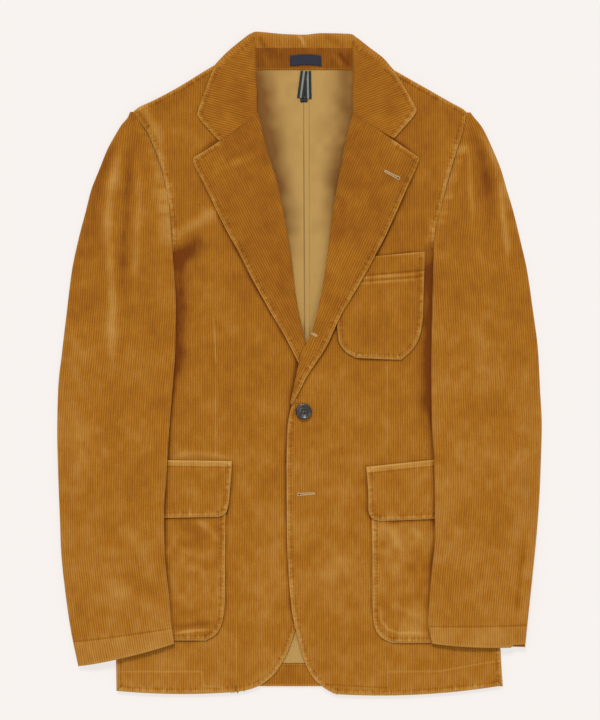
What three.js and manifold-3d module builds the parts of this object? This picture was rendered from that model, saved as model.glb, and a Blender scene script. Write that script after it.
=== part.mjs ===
// A corduroy blazer laid flat on its back, front up, fastened at its middle button.
// Millimetres. +X is the wearer's left, +Y points to the collar, +Z is up from the table.
// Every cloth is a thin wall laid on what is already there, from the back up to the sleeves.
import * as THREE from 'three';
import { mergeVertices } from 'three/addons/utils/BufferGeometryUtils.js';
import Module from 'manifold-3d';

const wasm = await Module();
wasm.setup();

// Walls and clearances
const CORDUROY = 1.6;
const DOUBLE_CORDUROY = 2.2;
const LINING_WALL = 1;
const LABEL_WALL = 1;
const RIBBON_WALL = 1;
const GAP = 0.35;
const SEAM = 0.15;

// Centre back seam, neck and hem of the body
const CENTRE_TOP = new THREE.Vector2(5.3, 345.4);
const CENTRE_HEM = new THREE.Vector2(11.2, -381.7);
const NECK_BOW = 10;
const BAND_TOP = 369;
const BAND_LEFT = -50;
const BAND_RIGHT = 61;
const BAND_LOW_Z = 3.9;
const BAND_HIGH_Z = 4.4;
const HEM_FACING_TOP = -355;
const HEM_FACING_LEFT = -200;
const HEM_FACING_RIGHT = 222;
const HEM_FACING_INSET = 0.6;
const LINING_INSET = 16;

// Folded edges: the roll of lapels and collar, and the edges of the flattened sleeves
const ROLL_DEPTH = 4;
const ROLL_SETBACK = 3.8;
const SLEEVE_EDGE = 5;
const SLEEVE_LEG = 16;
const SLEEVE_EDGE_HOLLOW = 1.6;
const SLEEVE_HOLLOW = 2.4;
const CAP_HOLLOW = 3.4;
const CAP_END = 135;
const COLLAR_CREST = 6.6;
const ROLL_ANGLES = [45, 0, -45];
const FOLD_ANGLES = [-90, -45, 0, 45, 90];
const ROLL_SHARE = 0.8;
const FOLD_WALL_SHARE = 0.8;
const SLEEVE_EDGE_SHARE = 0.6;
const SLEEVE_LEG_SHARE = 0.9;
const CAP_FADE = 60;
const COLLAR_FOLD_DEPTH = 4;

// Columns of points across each cloth, and stations for each row of its table
const BACK_COLUMNS = 6;
const FACING_COLUMNS = 16;
const BAND_COLUMNS = 9;
const LABEL_COLUMNS = 5;
const FRONT_COLUMNS = 10;
const POCKET_COLUMNS = 6;
const FLAP_COLUMNS = 7;
const LAPEL_COLUMNS = 7;
const SLEEVE_COLUMNS = 9;
const COLLAR_COLUMNS = 6;
const SINGLE = 1;
const DOUBLE = 2;

// How far the ends of some cloths bow towards the hem
const LAPEL_BOW_RIGHT = 5;
const FRONT_HEM_BOW_RIGHT = 1.5;
const FRONT_HEM_BOW_LEFT = 4.6;
const SLEEVE_HEM_BOW = 2.5;
const LABEL_BOW = -1;

// Button
const BUTTON_CENTRE = new THREE.Vector2(5, -57.3);
const BUTTON_RADIUS = 9.5;
const BUTTON_HEIGHT = 3.4;
const BUTTON_HOLE_RADIUS = 0.9;
const BUTTON_HOLE_OFFSET = 1.7;
const BUTTON_SEGMENTS = 28;
const BUTTON_HOLE_SEGMENTS = 8;

// Colours
const TAN_CORDUROY = '#a8691f';
const TAN_LINING = '#b6925a';
const NAVY_LABEL = '#1f2547';
const NAVY_RIBBON = '#14232b';
const DARK_HORN = '#3a2e28';
const CORDUROY_ROUGHNESS = 0.95;
const LINING_ROUGHNESS = 0.7;
const TAPE_ROUGHNESS = 0.8;
const HORN_ROUGHNESS = 0.4;

const rowsOf = (rows) =>
  rows.map(([outerX, outerY, innerX, innerY]) => ({ outerX, outerY, innerX, innerY }));

// Each panel is a table of stations from collar to hem: a point on its outer edge, one on its inner.
const FRONT_RIGHT = rowsOf([
  [-82, 358, -56, 350],
  [-110, 344.5, -54, 329],
  [-145.5, 324, -51, 312],
  [-174, 309, -48, 296],
  [-194.5, 293, -44, 277],
  [-179.5, 271.5, -36, 251],
  [-165, 235, -24, 221],
  [-154.5, 187.5, -16, 183],
  [-151, 141.5, -8, 140],
  [-180, 114.5, -4, 110],
  [-186, 84, 0.5, 77],
  [-193, 27, 12, 27],
  [-197, -10, 6.5, -14],
  [-200, -43.5, 15.5, -43.5],
  [-209.5, -126, 15.5, -126],
  [-215.5, -221, 13.5, -218],
  [-217, -294, 1, -294],
  [-217, -327, -9, -328],
  [-216.5, -355, -21.5, -355],
  [-216.5, -372, -39.5, -375],
  [-216, -387, -84.5, -390],
]);
const FRONT_LEFT = rowsOf([
  [93, 351.5, 67, 349],
  [123.5, 335, 66, 329],
  [150.5, 323.5, 65.5, 312.5],
  [174, 310, 63.5, 296],
  [198, 294.5, 60, 277],
  [192, 270, 55, 251],
  [180.5, 233.5, 49, 221],
  [168.5, 187.5, 43, 183],
  [159.5, 141.5, 38, 140],
  [183.5, 114.5, 35, 110],
  [190.5, 84, 31.5, 77],
  [199, 29.5, 17.5, 32],
  [202.5, 1, 5.5, 6],
  [207, -46, -9, -48.5],
  [217.5, -126, -15.5, -126],
  [228.5, -221, -14.5, -215],
  [234, -294, -9.5, -289],
  [236.5, -327, -2, -324.5],
  [238, -355, 7, -355],
  [239, -369.5, 18.5, -374.5],
  [240, -380.5, 39.5, -390],
]);
const SLEEVE_RIGHT = rowsOf([
  [-203.5, 290, -195.5, 287],
  [-214, 275, -183.5, 272.5],
  [-227, 251.5, -173, 251.5],
  [-236.5, 228, -164.5, 228],
  [-246, 204, -159, 204],
  [-252, 180.5, -156, 180.5],
  [-262, 141.5, -152, 141.5],
  [-268.5, 110, -148, 110],
  [-274.5, 62.5, -145.5, 62.5],
  [-280, 15.5, -146.5, 12],
  [-285, -32, -149.5, -32],
  [-286, -79, -153.5, -79],
  [-285, -126, -156.5, -128.5],
  [-283, -179.5, -159.5, -180.5],
  [-281.5, -220.5, -158.5, -224],
  [-275.5, -277.5, -153.5, -276],
  [-269.5, -317.5, -151, -305.5],
  [-261, -358, -147.5, -331],
]);
const SLEEVE_LEFT = rowsOf([
  [207, 289, 199.5, 287.5],
  [217.5, 275, 194.5, 272.5],
  [228.5, 251.5, 187, 251.5],
  [238, 228, 179.5, 228],
  [245, 204, 173, 204],
  [252, 180.5, 167.5, 180.5],
  [261.5, 141.5, 160, 141.5],
  [268.5, 110, 157.5, 110],
  [275.5, 62.5, 156.5, 62.5],
  [281.5, 15.5, 155.5, 12],
  [284, -32, 155.5, -32],
  [286, -73, 156, -73],
  [285, -112, 158.5, -112],
  [283, -159.5, 159.5, -159.5],
  [279, -209, 159.5, -202],
  [274.5, -253.5, 155, -253.5],
  [269.5, -301, 151.5, -303.5],
  [266, -335, 156, -331],
]);
const LAPEL_RIGHT = rowsOf([
  [-125, 242, -49, 296],
  [-110.5, 206.5, -39.5, 256],
  [-87, 158, -25, 207.5],
  [-71.5, 130, -16.5, 166.5],
  [-56, 99, -10.5, 131],
  [-35, 61.5, -3, 72],
  [-16.5, 29.5, 4, 38],
  [-1, -1, 9.5, 12],
  [4.5, -12, 11, -9.5],
]);
const LAPEL_LEFT = rowsOf([
  [141, 241.5, 62.5, 296],
  [126.5, 205.5, 55.5, 268],
  [107, 161.5, 46.5, 221],
  [88.5, 125, 38, 170],
  [62, 78, 31.5, 119],
  [48, 54.5, 27, 89.5],
  [32, 20, 14.5, 37],
  [8, -17.5, 2, 10.5],
  [-3, -39, -6, -23.5],
  [-9, -49, -11, -47],
]);
const COLLAR_RIGHT = rowsOf([
  [-92.5, 265, -50, 298.2],
  [-120.5, 291, -50, 314],
  [-110.5, 322, -50.5, 334],
  [-94.5, 351, -51, 355],
  [-82.5, 363, -51, 369],
  [-68, 375.5, -51.5, 377],
  [-57, 384, -51.5, 383.5],
]);
const COLLAR_LEFT = rowsOf([
  [111.5, 266.5, 63, 298.2],
  [138, 297, 62.5, 314],
  [125.5, 322, 62.5, 329],
  [110.5, 340, 62.5, 345.5],
  [97, 355.5, 62, 360],
  [80, 368.5, 62, 369.5],
  [66.5, 380, 61.5, 379],
]);
const CHEST_POCKET = rowsOf([
  [43.5, 122, 148, 131.5],
  [43.5, 86, 147, 92],
  [44, 48.5, 145.5, 53],
  [46, 27, 141.5, 30.5],
  [53.5, 14, 133, 15.5],
  [66.5, 6, 120, 3.5],
]);
const POCKET_RIGHT = rowsOf([
  [-199, -131, -86, -131],
  [-199.5, -209, -87.5, -209],
  [-199.5, -279.5, -88, -279.5],
  [-197.5, -305.5, -91, -305.5],
  [-192, -320, -98.5, -320],
  [-181, -327.5, -110.5, -327.5],
]);
const POCKET_LEFT = rowsOf([
  [201, -138, 84, -138],
  [202.5, -209, 85.5, -209],
  [202.5, -286.5, 86, -286.5],
  [200, -310.5, 89, -312.5],
  [192, -324.5, 98.5, -325.5],
  [179, -330, 110.5, -330.5],
]);
const FLAP_RIGHT = rowsOf([
  [-203.5, -114, -79.5, -115.5],
  [-203.5, -122.5, -80, -123.5],
  [-203, -144, -81.5, -146.5],
  [-202.5, -166.5, -84, -168.5],
  [-199.5, -177, -87.5, -178],
  [-190.5, -183.5, -95, -181.5],
]);
const FLAP_LEFT = rowsOf([
  [206, -109, 78.5, -122.5],
  [206.5, -118, 79.5, -130],
  [207.5, -140.5, 80.5, -151],
  [208.5, -168.5, 81, -173.5],
  [206, -178, 85, -183],
  [196.5, -182.5, 94, -186.5],
]);
const LABEL = rowsOf([
  [-11, 362.5, 25.5, 362.5],
  [-11, 350, 26, 350],
]);
const RIBBON_LEGS = [
  rowsOf([
    [1.5, 344.5, 9.5, 344.5],
    [-3.5, 318, 5, 309.5],
  ]),
  rowsOf([
    [5.5, 344.5, 13.5, 344.5],
    [6.5, 311, 15, 313.5],
  ]),
];

// The collar folds over this edge of the outline: the fold, the end of its leg on top
// and the free edge of the fall underneath.
const COLLAR_FOLD = [
  [-94, 358.5, -91, 352, -88, 345],
  [-85.5, 367, -80.5, 361, -76, 339],
  [-70, 380, -66, 373.5, -61, 331],
  [-58.5, 388.5, -56, 381, -53, 326.5],
  [-50, 391.2, -50, 369.5, -46, 324.5],
  [-16, 388.2, -16, 369.5, -15, 320],
  [5.5, 387.6, 5.5, 369.5, 5.5, 318.5],
  [26.5, 389.4, 26.5, 369.5, 25, 320],
  [60, 388.5, 60, 369.5, 56, 325],
  [68, 384, 65, 377, 66, 327.5],
  [82, 373, 78.5, 367, 80, 331],
  [99.5, 359.5, 95.5, 353.5, 94, 336],
  [109, 348.5, 105.5, 343, 102, 338.5],
].map(([foldX, foldY, topX, topY, underX, underY]) => ({ foldX, foldY, topX, topY, underX, underY }));

// The largest soft ridges of the worn cloth: both ends, width and height.
const ridgesOf = (rows) =>
  rows.map(([startX, startY, endX, endY, width, height]) =>
    ({ start: new THREE.Vector2(startX, startY), end: new THREE.Vector2(endX, endY), width, height }));
const SLEEVE_RIDGES = ridgesOf([
  [-219, 285, -232, 30, 34, 1.6],
  [-191, 262, -190, 60, 30, 1.1],
  [-262, 40, -250, -200, 40, 1.2],
  [-196, -60, -172, -300, 34, 1.4],
  [207, 282, 238, 120, 32, 1.6],
  [224, 150, 214, -40, 34, 1.2],
  [262, 30, 252, -230, 40, 1.2],
  [186, -40, 172, -250, 30, 1.1],
]);
const FRONT_RIDGES = ridgesOf([
  [-150, 150, -98, 188, 30, 1.6],
  [-150, 60, -118, -60, 34, 1],
  [165, 170, 150, 60, 36, 1],
  [-60, -250, -30, -350, 40, 0.9],
  [40, -150, 46, -340, 46, 0.9],
]);

const RIDGE_FADE = 5;

function ridgeHeight(ridges, point) {
  let height = 0;
  for (const ridge of ridges) {
    const along = ridge.end.clone().sub(ridge.start);
    const offset = point.clone().sub(ridge.start);
    const t = THREE.MathUtils.clamp(offset.dot(along) / along.lengthSq(), 0, 1);
    const aside = offset.sub(along.multiplyScalar(t)).length();
    const across = Math.max(0, 1 - (2 * aside) / ridge.width);
    const fade = Math.min(1, RIDGE_FADE * t, RIDGE_FADE * (1 - t));
    height += ridge.height * THREE.MathUtils.smoothstep(across, 0, 1) * fade;
  }
  return height;
}

// A smooth course through a column of a table that never swings past its values.
function smoothValue(values, at) {
  const last = values.length - 1;
  const index = Math.min(last - 1, Math.floor(at));
  const step = (n) => values[n + 1] - values[n];
  const slope = (n) => {
    if (n === 0) return step(0);
    if (n === last) return step(last - 1);
    const product = step(n - 1) * step(n);
    return product <= 0 ? 0 : (2 * product) / (step(n - 1) + step(n));
  };
  const t = at - index;
  const rise = t * t * (3 - 2 * t);
  const leave = t * (1 - t) * (1 - t) * slope(index);
  const arrive = t * t * (t - 1) * slope(index + 1);
  return values[index] + rise * step(index) + leave + arrive;
}

// Stations between the rows of a table, as pairs of edge points.
function stationsOf(rows, perRow) {
  const count = (rows.length - 1) * perRow + 1;
  return Array.from({ length: count }, (_, i) => {
    const value = (name) => smoothValue(rows.map((row) => row[name]), i / perRow);
    return {
      outer: new THREE.Vector2(value('outerX'), value('outerY')),
      inner: new THREE.Vector2(value('innerX'), value('innerY')),
    };
  });
}

// A net of plan points: station by station, column by column from the outer to the inner edge.
// The first and last station may bow towards the hem.
function netOf(stations, columns, { firstBow = 0, lastBow = 0 } = {}) {
  const last = stations.length - 1;
  return stations.map(({ outer, inner }, i) =>
    Array.from({ length: columns }, (_, j) => {
      const u = j / (columns - 1);
      const arch = 4 * u * (1 - u);
      const bow = firstBow * Math.max(0, 1 - i / 2) + lastBow * Math.max(0, 1 - (last - i) / 2);
      const point = outer.clone().lerp(inner, u);
      point.y -= bow * arch;
      return point;
    }));
}

// A closed wall between two nets of points with the same rows and columns.
function wallBetween(topNet, bottomNet) {
  const rows = topNet.length;
  const columns = topNet[0].length;
  const positions = [...topNet.flat(), ...bottomNet.flat()].flatMap((p) => [p.x, p.y, p.z]);
  const top = (i, j) => i * columns + j;
  const bottom = (i, j) => rows * columns + i * columns + j;
  const index = [];
  const quad = (a, b, c, d) => index.push(a, b, c, a, c, d);
  for (let i = 0; i < rows - 1; i += 1) {
    for (let j = 0; j < columns - 1; j += 1) {
      quad(top(i, j), top(i + 1, j), top(i + 1, j + 1), top(i, j + 1));
      quad(bottom(i, j), bottom(i, j + 1), bottom(i + 1, j + 1), bottom(i + 1, j));
    }
    quad(top(i, 0), bottom(i, 0), bottom(i + 1, 0), top(i + 1, 0));
    quad(top(i + 1, columns - 1), bottom(i + 1, columns - 1), bottom(i, columns - 1), top(i, columns - 1));
  }
  for (let j = 0; j < columns - 1; j += 1) {
    quad(top(0, j + 1), bottom(0, j + 1), bottom(0, j), top(0, j));
    quad(top(rows - 1, j), bottom(rows - 1, j), bottom(rows - 1, j + 1), top(rows - 1, j + 1));
  }
  const geometry = new THREE.BufferGeometry();
  geometry.setAttribute('position', new THREE.Float32BufferAttribute(positions, 3));
  geometry.setIndex(signedVolume(positions, index) < 0 ? index.reverse() : index);
  return geometry;
}

function signedVolume(positions, index) {
  const corner = (n) => new THREE.Vector3().fromArray(positions, 3 * index[n]);
  let volume = 0;
  for (let n = 0; n < index.length; n += 3) {
    volume += corner(n).dot(corner(n + 1).cross(corner(n + 2))) / 6;
  }
  return volume;
}

// The top of the pile of cloth so far, on a square grid over the table.
class Pile {
  constructor() {
    this.cell = 2;
    this.halfWidth = 300;
    this.halfLength = 410;
    this.columns = (2 * this.halfWidth) / this.cell;
    this.rows = (2 * this.halfLength) / this.cell;
    this.heights = new Float64Array(this.columns * this.rows).fill(-GAP);
  }

  // Calls visit(cell number, height) for each cell whose centre lies under a triangle.
  cover(a, b, c, visit) {
    const area = (b.x - a.x) * (c.y - a.y) - (c.x - a.x) * (b.y - a.y);
    if (Math.abs(area) < 1e-9) return;
    const column = (x) => Math.floor((x + this.halfWidth) / this.cell);
    const row = (y) => Math.floor((y + this.halfLength) / this.cell);
    for (let i = column(Math.min(a.x, b.x, c.x)); i <= column(Math.max(a.x, b.x, c.x)); i += 1) {
      for (let j = row(Math.min(a.y, b.y, c.y)); j <= row(Math.max(a.y, b.y, c.y)); j += 1) {
        const x = (i + 0.5) * this.cell - this.halfWidth;
        const y = (j + 0.5) * this.cell - this.halfLength;
        const wb = ((x - a.x) * (c.y - a.y) - (c.x - a.x) * (y - a.y)) / area;
        const wc = ((b.x - a.x) * (y - a.y) - (x - a.x) * (b.y - a.y)) / area;
        if (wb >= 0 && wc >= 0 && wb + wc <= 1) {
          visit(j * this.columns + i, a.z * (1 - wb - wc) + b.z * wb + c.z * wc);
        }
      }
    }
  }

  // Lays a finished piece on the pile.
  add(geometry) {
    const position = geometry.getAttribute('position');
    const index = geometry.getIndex();
    const corner = (n) => new THREE.Vector3().fromBufferAttribute(position, index ? index.getX(n) : n);
    const count = index ? index.count : position.count;
    for (let n = 0; n < count; n += 3) {
      this.cover(corner(n), corner(n + 1), corner(n + 2), (cell, height) => {
        this.heights[cell] = Math.max(this.heights[cell], height);
      });
    }
  }

  // The cells that a net of plan points covers.
  footprint(net) {
    const cells = new Set();
    const at = (i, j) => new THREE.Vector3(net[i][j].x, net[i][j].y, 0);
    for (let i = 0; i < net.length - 1; i += 1) {
      for (let j = 0; j < net[0].length - 1; j += 1) {
        this.cover(at(i, j), at(i + 1, j), at(i + 1, j + 1), (cell) => cells.add(cell));
        this.cover(at(i, j), at(i + 1, j + 1), at(i, j + 1), (cell) => cells.add(cell));
      }
    }
    return cells;
  }

  // The highest cloth within reach of a point and under the footprint.
  highest(point, reach, cells) {
    let height = -GAP;
    const span = Math.ceil(reach / this.cell);
    const i0 = Math.floor((point.x + this.halfWidth) / this.cell);
    const j0 = Math.floor((point.y + this.halfLength) / this.cell);
    for (let i = i0 - span; i <= i0 + span; i += 1) {
      for (let j = j0 - span; j <= j0 + span; j += 1) {
        const cell = j * this.columns + i;
        const near = Math.hypot(i - i0, j - j0) * this.cell <= reach + this.cell;
        if (near && cells.has(cell)) height = Math.max(height, this.heights[cell]);
      }
    }
    return height;
  }
}

const pile = new Pile();

// The height at which each point of a net rests, so that no facet between points cuts the cloth below.
function restingHeights(net, lowest = 0) {
  const cells = pile.footprint(net);
  const near = [-1, 0, 1];
  const neighbours = (i, j) =>
    near.flatMap((di) => near.map((dj) => (net[i + di] ?? [])[j + dj])).filter(Boolean);
  const floor = net.map((row, i) =>
    row.map((point, j) => {
      const reach = Math.max(...neighbours(i, j).map((other) => other.distanceTo(point)));
      return Math.max(lowest, pile.highest(point, reach, cells) + GAP);
    }));
  const settled = floor.map((row) => [...row]);
  const passes = 2;
  for (let pass = 0; pass < passes; pass += 1) {
    const before = settled.map((row) => [...row]);
    for (let i = 1; i < net.length - 1; i += 1) {
      for (let j = 1; j < net[0].length - 1; j += 1) {
        const mean = (before[i - 1][j] + before[i + 1][j] + before[i][j - 1] + before[i][j + 1]) / 4;
        settled[i][j] = Math.max(floor[i][j], mean);
      }
    }
  }
  return settled;
}

// A cloth laid on the pile: its wall, standing up by any ridges.
function laidCloth(net, wall, { ridges = [], lowest = 0 } = {}) {
  const heights = restingHeights(net, lowest);
  const lift = (extra) => net.map((row, i) =>
    row.map((point, j) => new THREE.Vector3(
      point.x, point.y, heights[i][j] + extra + ridgeHeight(ridges, point))));
  const geometry = wallBetween(lift(wall), lift(0));
  pile.add(geometry);
  return geometry;
}

// A point on the half round of a fold: angle -90 is its lower side, 0 its edge and 90 its upper side.
function foldPoint(edge, inward, depth, low, high, inset, angle) {
  const radians = THREE.MathUtils.degToRad(angle);
  const half = (high - low) / 2;
  const wall = Math.min(inset, FOLD_WALL_SHARE * half, FOLD_WALL_SHARE * depth);
  const run = depth - (depth - wall) * Math.cos(radians);
  return new THREE.Vector3(
    edge.x + inward.x * run,
    edge.y + inward.y * run,
    low + half + (half - wall) * Math.sin(radians));
}

// A cloth on the pile whose inner edge is a soft roll that hides the cloth it lies on.
function rolledCloth(net, wall) {
  const heights = restingHeights(net);
  const face = (inset) => net.map((row, i) => {
    const last = row.length - 1;
    const inward = row[last - 1].clone().sub(row[last]);
    const depth = Math.min(ROLL_DEPTH, inward.length() * ROLL_SHARE);
    inward.normalize();
    const high = heights[i][last] + wall;
    const low = heights[i][last] - GAP - CORDUROY;
    const flat = row.slice(0, last).map((point, j) =>
      new THREE.Vector3(point.x, point.y, heights[i][j] + wall - inset));
    const crown = foldPoint(row[last], inward, depth, low, high, inset, 90);
    const edge = ROLL_ANGLES.map((angle) =>
      foldPoint(row[last], inward, depth, low, high, inset, angle));
    return [...flat, crown, ...edge];
  });
  const geometry = wallBetween(face(0), face(wall));
  pile.add(geometry);
  return geometry;
}

// The two cloths of a flattened sleeve. The top one wraps round both folded edges and ends
// underneath, where the under one fills the space between its legs.
function sleeveCloths(net) {
  const heights = restingHeights(net);
  const last = net[0].length - 1;
  const hollow = (u, y) => {
    const arch = Math.sqrt(Math.sin(Math.PI * u));
    const open = THREE.MathUtils.lerp(SLEEVE_EDGE_HOLLOW, SLEEVE_HOLLOW, arch);
    const cap = THREE.MathUtils.smoothstep(y, CAP_END, CAP_END + CAP_FADE) * u;
    return THREE.MathUtils.lerp(open, CAP_HOLLOW, cap);
  };
  const under = (row, i, j, extra) =>
    new THREE.Vector3(row[j].x, row[j].y, heights[i][j] + extra);
  const over = (row, i, j, inset) => {
    const rise = 2 * CORDUROY + hollow(j / last, row[j].y) + ridgeHeight(SLEEVE_RIDGES, row[j]);
    return new THREE.Vector3(row[j].x, row[j].y, heights[i][j] + rise - inset);
  };
  const legEnd = (row, i, edge, next, inset) => {
    const width = row[edge].distanceTo(row[next]);
    const t = Math.min(SLEEVE_LEG, width * SLEEVE_LEG_SHARE) / width;
    return under(row, i, edge, inset).lerp(under(row, i, next, inset), t);
  };
  const fold = (row, i, edge, next, inset, angles) => {
    const width = row[edge].distanceTo(row[next]);
    const depth = Math.min(SLEEVE_EDGE, width * SLEEVE_EDGE_SHARE);
    const inward = row[next].clone().sub(row[edge]).normalize();
    const low = heights[i][edge];
    const rise = 2 * CORDUROY + hollow(edge / last, row[edge].y);
    return angles.map((angle) =>
      foldPoint(row[edge], inward, depth, low, low + rise, inset, angle));
  };
  const face = (inset) => net.map((row, i) => [
    legEnd(row, i, 0, 1, inset),
    ...fold(row, i, 0, 1, inset, FOLD_ANGLES),
    ...row.slice(1, last).map((_, j) => over(row, i, j + 1, inset)),
    ...fold(row, i, last, last - 1, inset, FOLD_ANGLES.toReversed()),
    legEnd(row, i, last, last - 1, inset),
  ]);
  const top = wallBetween(face(0), face(CORDUROY));
  const between = (extra) => net.map((row, i) => {
    const start = legEnd(row, i, 0, 1, extra);
    const end = legEnd(row, i, last, last - 1, extra);
    const inward = end.clone().sub(start).setZ(0).normalize().multiplyScalar(GAP);
    return [
      start.add(inward),
      ...row.slice(2, last - 1).map((_, j) => under(row, i, j + 2, extra)),
      end.sub(inward),
    ];
  });
  const bottom = wallBetween(between(CORDUROY), between(0));
  pile.add(top);
  return { top, bottom };
}

// A closed geometry as a solid that can be joined or cut.
function solidOf(geometry) {
  const bare = geometry.clone();
  bare.deleteAttribute('normal');
  bare.deleteAttribute('uv');
  const merged = mergeVertices(bare, 1e-4);
  return new wasm.Manifold(new wasm.Mesh({
    numProp: 3,
    vertProperties: new Float32Array(merged.getAttribute('position').array),
    triVerts: new Uint32Array(merged.getIndex().array),
  }));
}

function geometryOf(solid) {
  const mesh = solid.getMesh();
  const geometry = new THREE.BufferGeometry();
  geometry.setAttribute('position', new THREE.Float32BufferAttribute(mesh.vertProperties, 3));
  geometry.setIndex(Array.from(mesh.triVerts));
  return geometry;
}

// Joins the overlapping walls of one cloth.
const joined = (walls) => geometryOf(walls.map(solidOf).reduce((whole, wall) => whole.add(wall)));

const group = new THREE.Group();

function addPiece(name, geometry, color, roughness = CORDUROY_ROUGHNESS) {
  geometry.computeVertexNormals();
  const mesh = new THREE.Mesh(geometry, new THREE.MeshStandardMaterial({ color, roughness, metalness: 0 }));
  mesh.name = name;
  group.add(mesh);
}

// Body: back panels, back hem turned up inside, and the lining that shows at neck and hem

function centreSeamAt(y) {
  const t = (CENTRE_TOP.y - y) / (CENTRE_TOP.y - CENTRE_HEM.y);
  return THREE.MathUtils.lerp(CENTRE_TOP.x, CENTRE_HEM.x, t);
}

// Rows from a front's outer edge, or a line inside it, to the centre back seam.
function backRows(frontRows, side, inset, top, bottom) {
  const first = frontRows[0].outerY;
  const last = frontRows.at(-1).outerY;
  const neckRise = inset > 0 ? 0 : first - top;
  return frontRows.map((row) => {
    const t = (first - row.outerY) / (first - last);
    const innerY = THREE.MathUtils.lerp(top, bottom, t);
    return {
      outerX: row.outerX - side * inset,
      outerY: THREE.MathUtils.lerp(top + neckRise, bottom, t),
      innerX: centreSeamAt(innerY) + side * SEAM,
      innerY,
    };
  });
}

// A front's inner edge stays inside the roll of its collar end and lapel.
function insideRoll(frontRows, collarRows, lapelRows, side) {
  const roll = [...collarRows.toReversed(), ...lapelRows];
  return frontRows.map((row) => {
    const after = roll.findIndex((point) => point.innerY < row.innerY);
    if (after < 0) return row;
    const low = roll[after];
    const high = roll[Math.max(0, after - 1)];
    const t = high === low ? 0 : (row.innerY - low.innerY) / (high.innerY - low.innerY);
    const edge = THREE.MathUtils.lerp(low.innerX, high.innerX, t) + side * ROLL_SETBACK;
    return { ...row, innerX: side < 0 ? Math.min(row.innerX, edge) : Math.max(row.innerX, edge) };
  });
}

const BODY_SIDES = [
  { side: -1, name: 'right', front: FRONT_RIGHT },
  { side: 1, name: 'left', front: FRONT_LEFT },
];

const collarUnder = netOf(COLLAR_FOLD.map((row) => ({
  outer: new THREE.Vector2(row.foldX, row.foldY),
  inner: new THREE.Vector2(row.underX, row.underY),
})), 2);
const flatNet = (net, z) => net.map((row) => row.map((point) => new THREE.Vector3(point.x, point.y, z)));
pile.add(wallBetween(flatNet(collarUnder, DOUBLE_CORDUROY), flatNet(collarUnder, 0)));

for (const { side, name, front } of BODY_SIDES) {
  const rows = backRows(front, side, 0, CENTRE_TOP.y, CENTRE_HEM.y);
  const net = netOf(stationsOf(rows, SINGLE), BACK_COLUMNS, { firstBow: NECK_BOW });
  addPiece(`back_${name}`, laidCloth(net, CORDUROY), TAN_CORDUROY);
}

const facingRows = rowsOf([
  [HEM_FACING_LEFT, HEM_FACING_TOP, HEM_FACING_RIGHT, HEM_FACING_TOP],
  [HEM_FACING_LEFT, CENTRE_HEM.y + HEM_FACING_INSET, HEM_FACING_RIGHT, CENTRE_HEM.y + HEM_FACING_INSET],
]);
addPiece('back_hem_facing', laidCloth(netOf(stationsOf(facingRows, SINGLE), FACING_COLUMNS), CORDUROY),
  TAN_CORDUROY);

for (const { side, name, front } of BODY_SIDES) {
  const rows = backRows(front, side, LINING_INSET, CENTRE_TOP.y, HEM_FACING_TOP + GAP);
  const net = netOf(stationsOf(rows, SINGLE), BACK_COLUMNS);
  addPiece(`lining_${name}`, laidCloth(net, LINING_WALL), TAN_LINING, LINING_ROUGHNESS);
}

// Neck: the inner band of the collar, the label on it and the ribbon loop below it

const bandNet = netOf(stationsOf(rowsOf([
  [BAND_LEFT, BAND_TOP, BAND_RIGHT, BAND_TOP],
  [BAND_LEFT, CENTRE_TOP.y + GAP, BAND_RIGHT, CENTRE_TOP.y + GAP],
]), DOUBLE), BAND_COLUMNS);
const bandNetAt = (extra) => bandNet.map((row, i) =>
  row.map((point) => new THREE.Vector3(
    point.x, point.y, THREE.MathUtils.lerp(BAND_HIGH_Z, BAND_LOW_Z, i / (bandNet.length - 1)) + extra)));
const band = wallBetween(bandNetAt(CORDUROY), bandNetAt(0));
pile.add(band);
addPiece('collar_band', band, TAN_CORDUROY);

const labelBows = { firstBow: LABEL_BOW, lastBow: LABEL_BOW };
const labelNet = netOf(stationsOf(LABEL, SINGLE), LABEL_COLUMNS, labelBows);
addPiece('neck_label', laidCloth(labelNet, LABEL_WALL), NAVY_LABEL, TAPE_ROUGHNESS);

const ribbonLegs = RIBBON_LEGS.map((rows) => netOf(stationsOf(rows, DOUBLE), 2));
const ribbonHeights = ribbonLegs.map((net) => Math.max(...restingHeights(net).flat()));
const ribbonBase = Math.max(...ribbonHeights);
const ribbon = joined(ribbonLegs.map((net, n) => wallBetween(
  flatNet(net, ribbonBase + RIBBON_WALL * (1 + n / 2)), flatNet(net, ribbonBase + (RIBBON_WALL * n) / 2))));
pile.add(ribbon);
addPiece('hanger_loop', ribbon, NAVY_RIBBON, TAPE_ROUGHNESS);

// Fronts, the right one first, each with its pockets, flap and lapel

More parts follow.
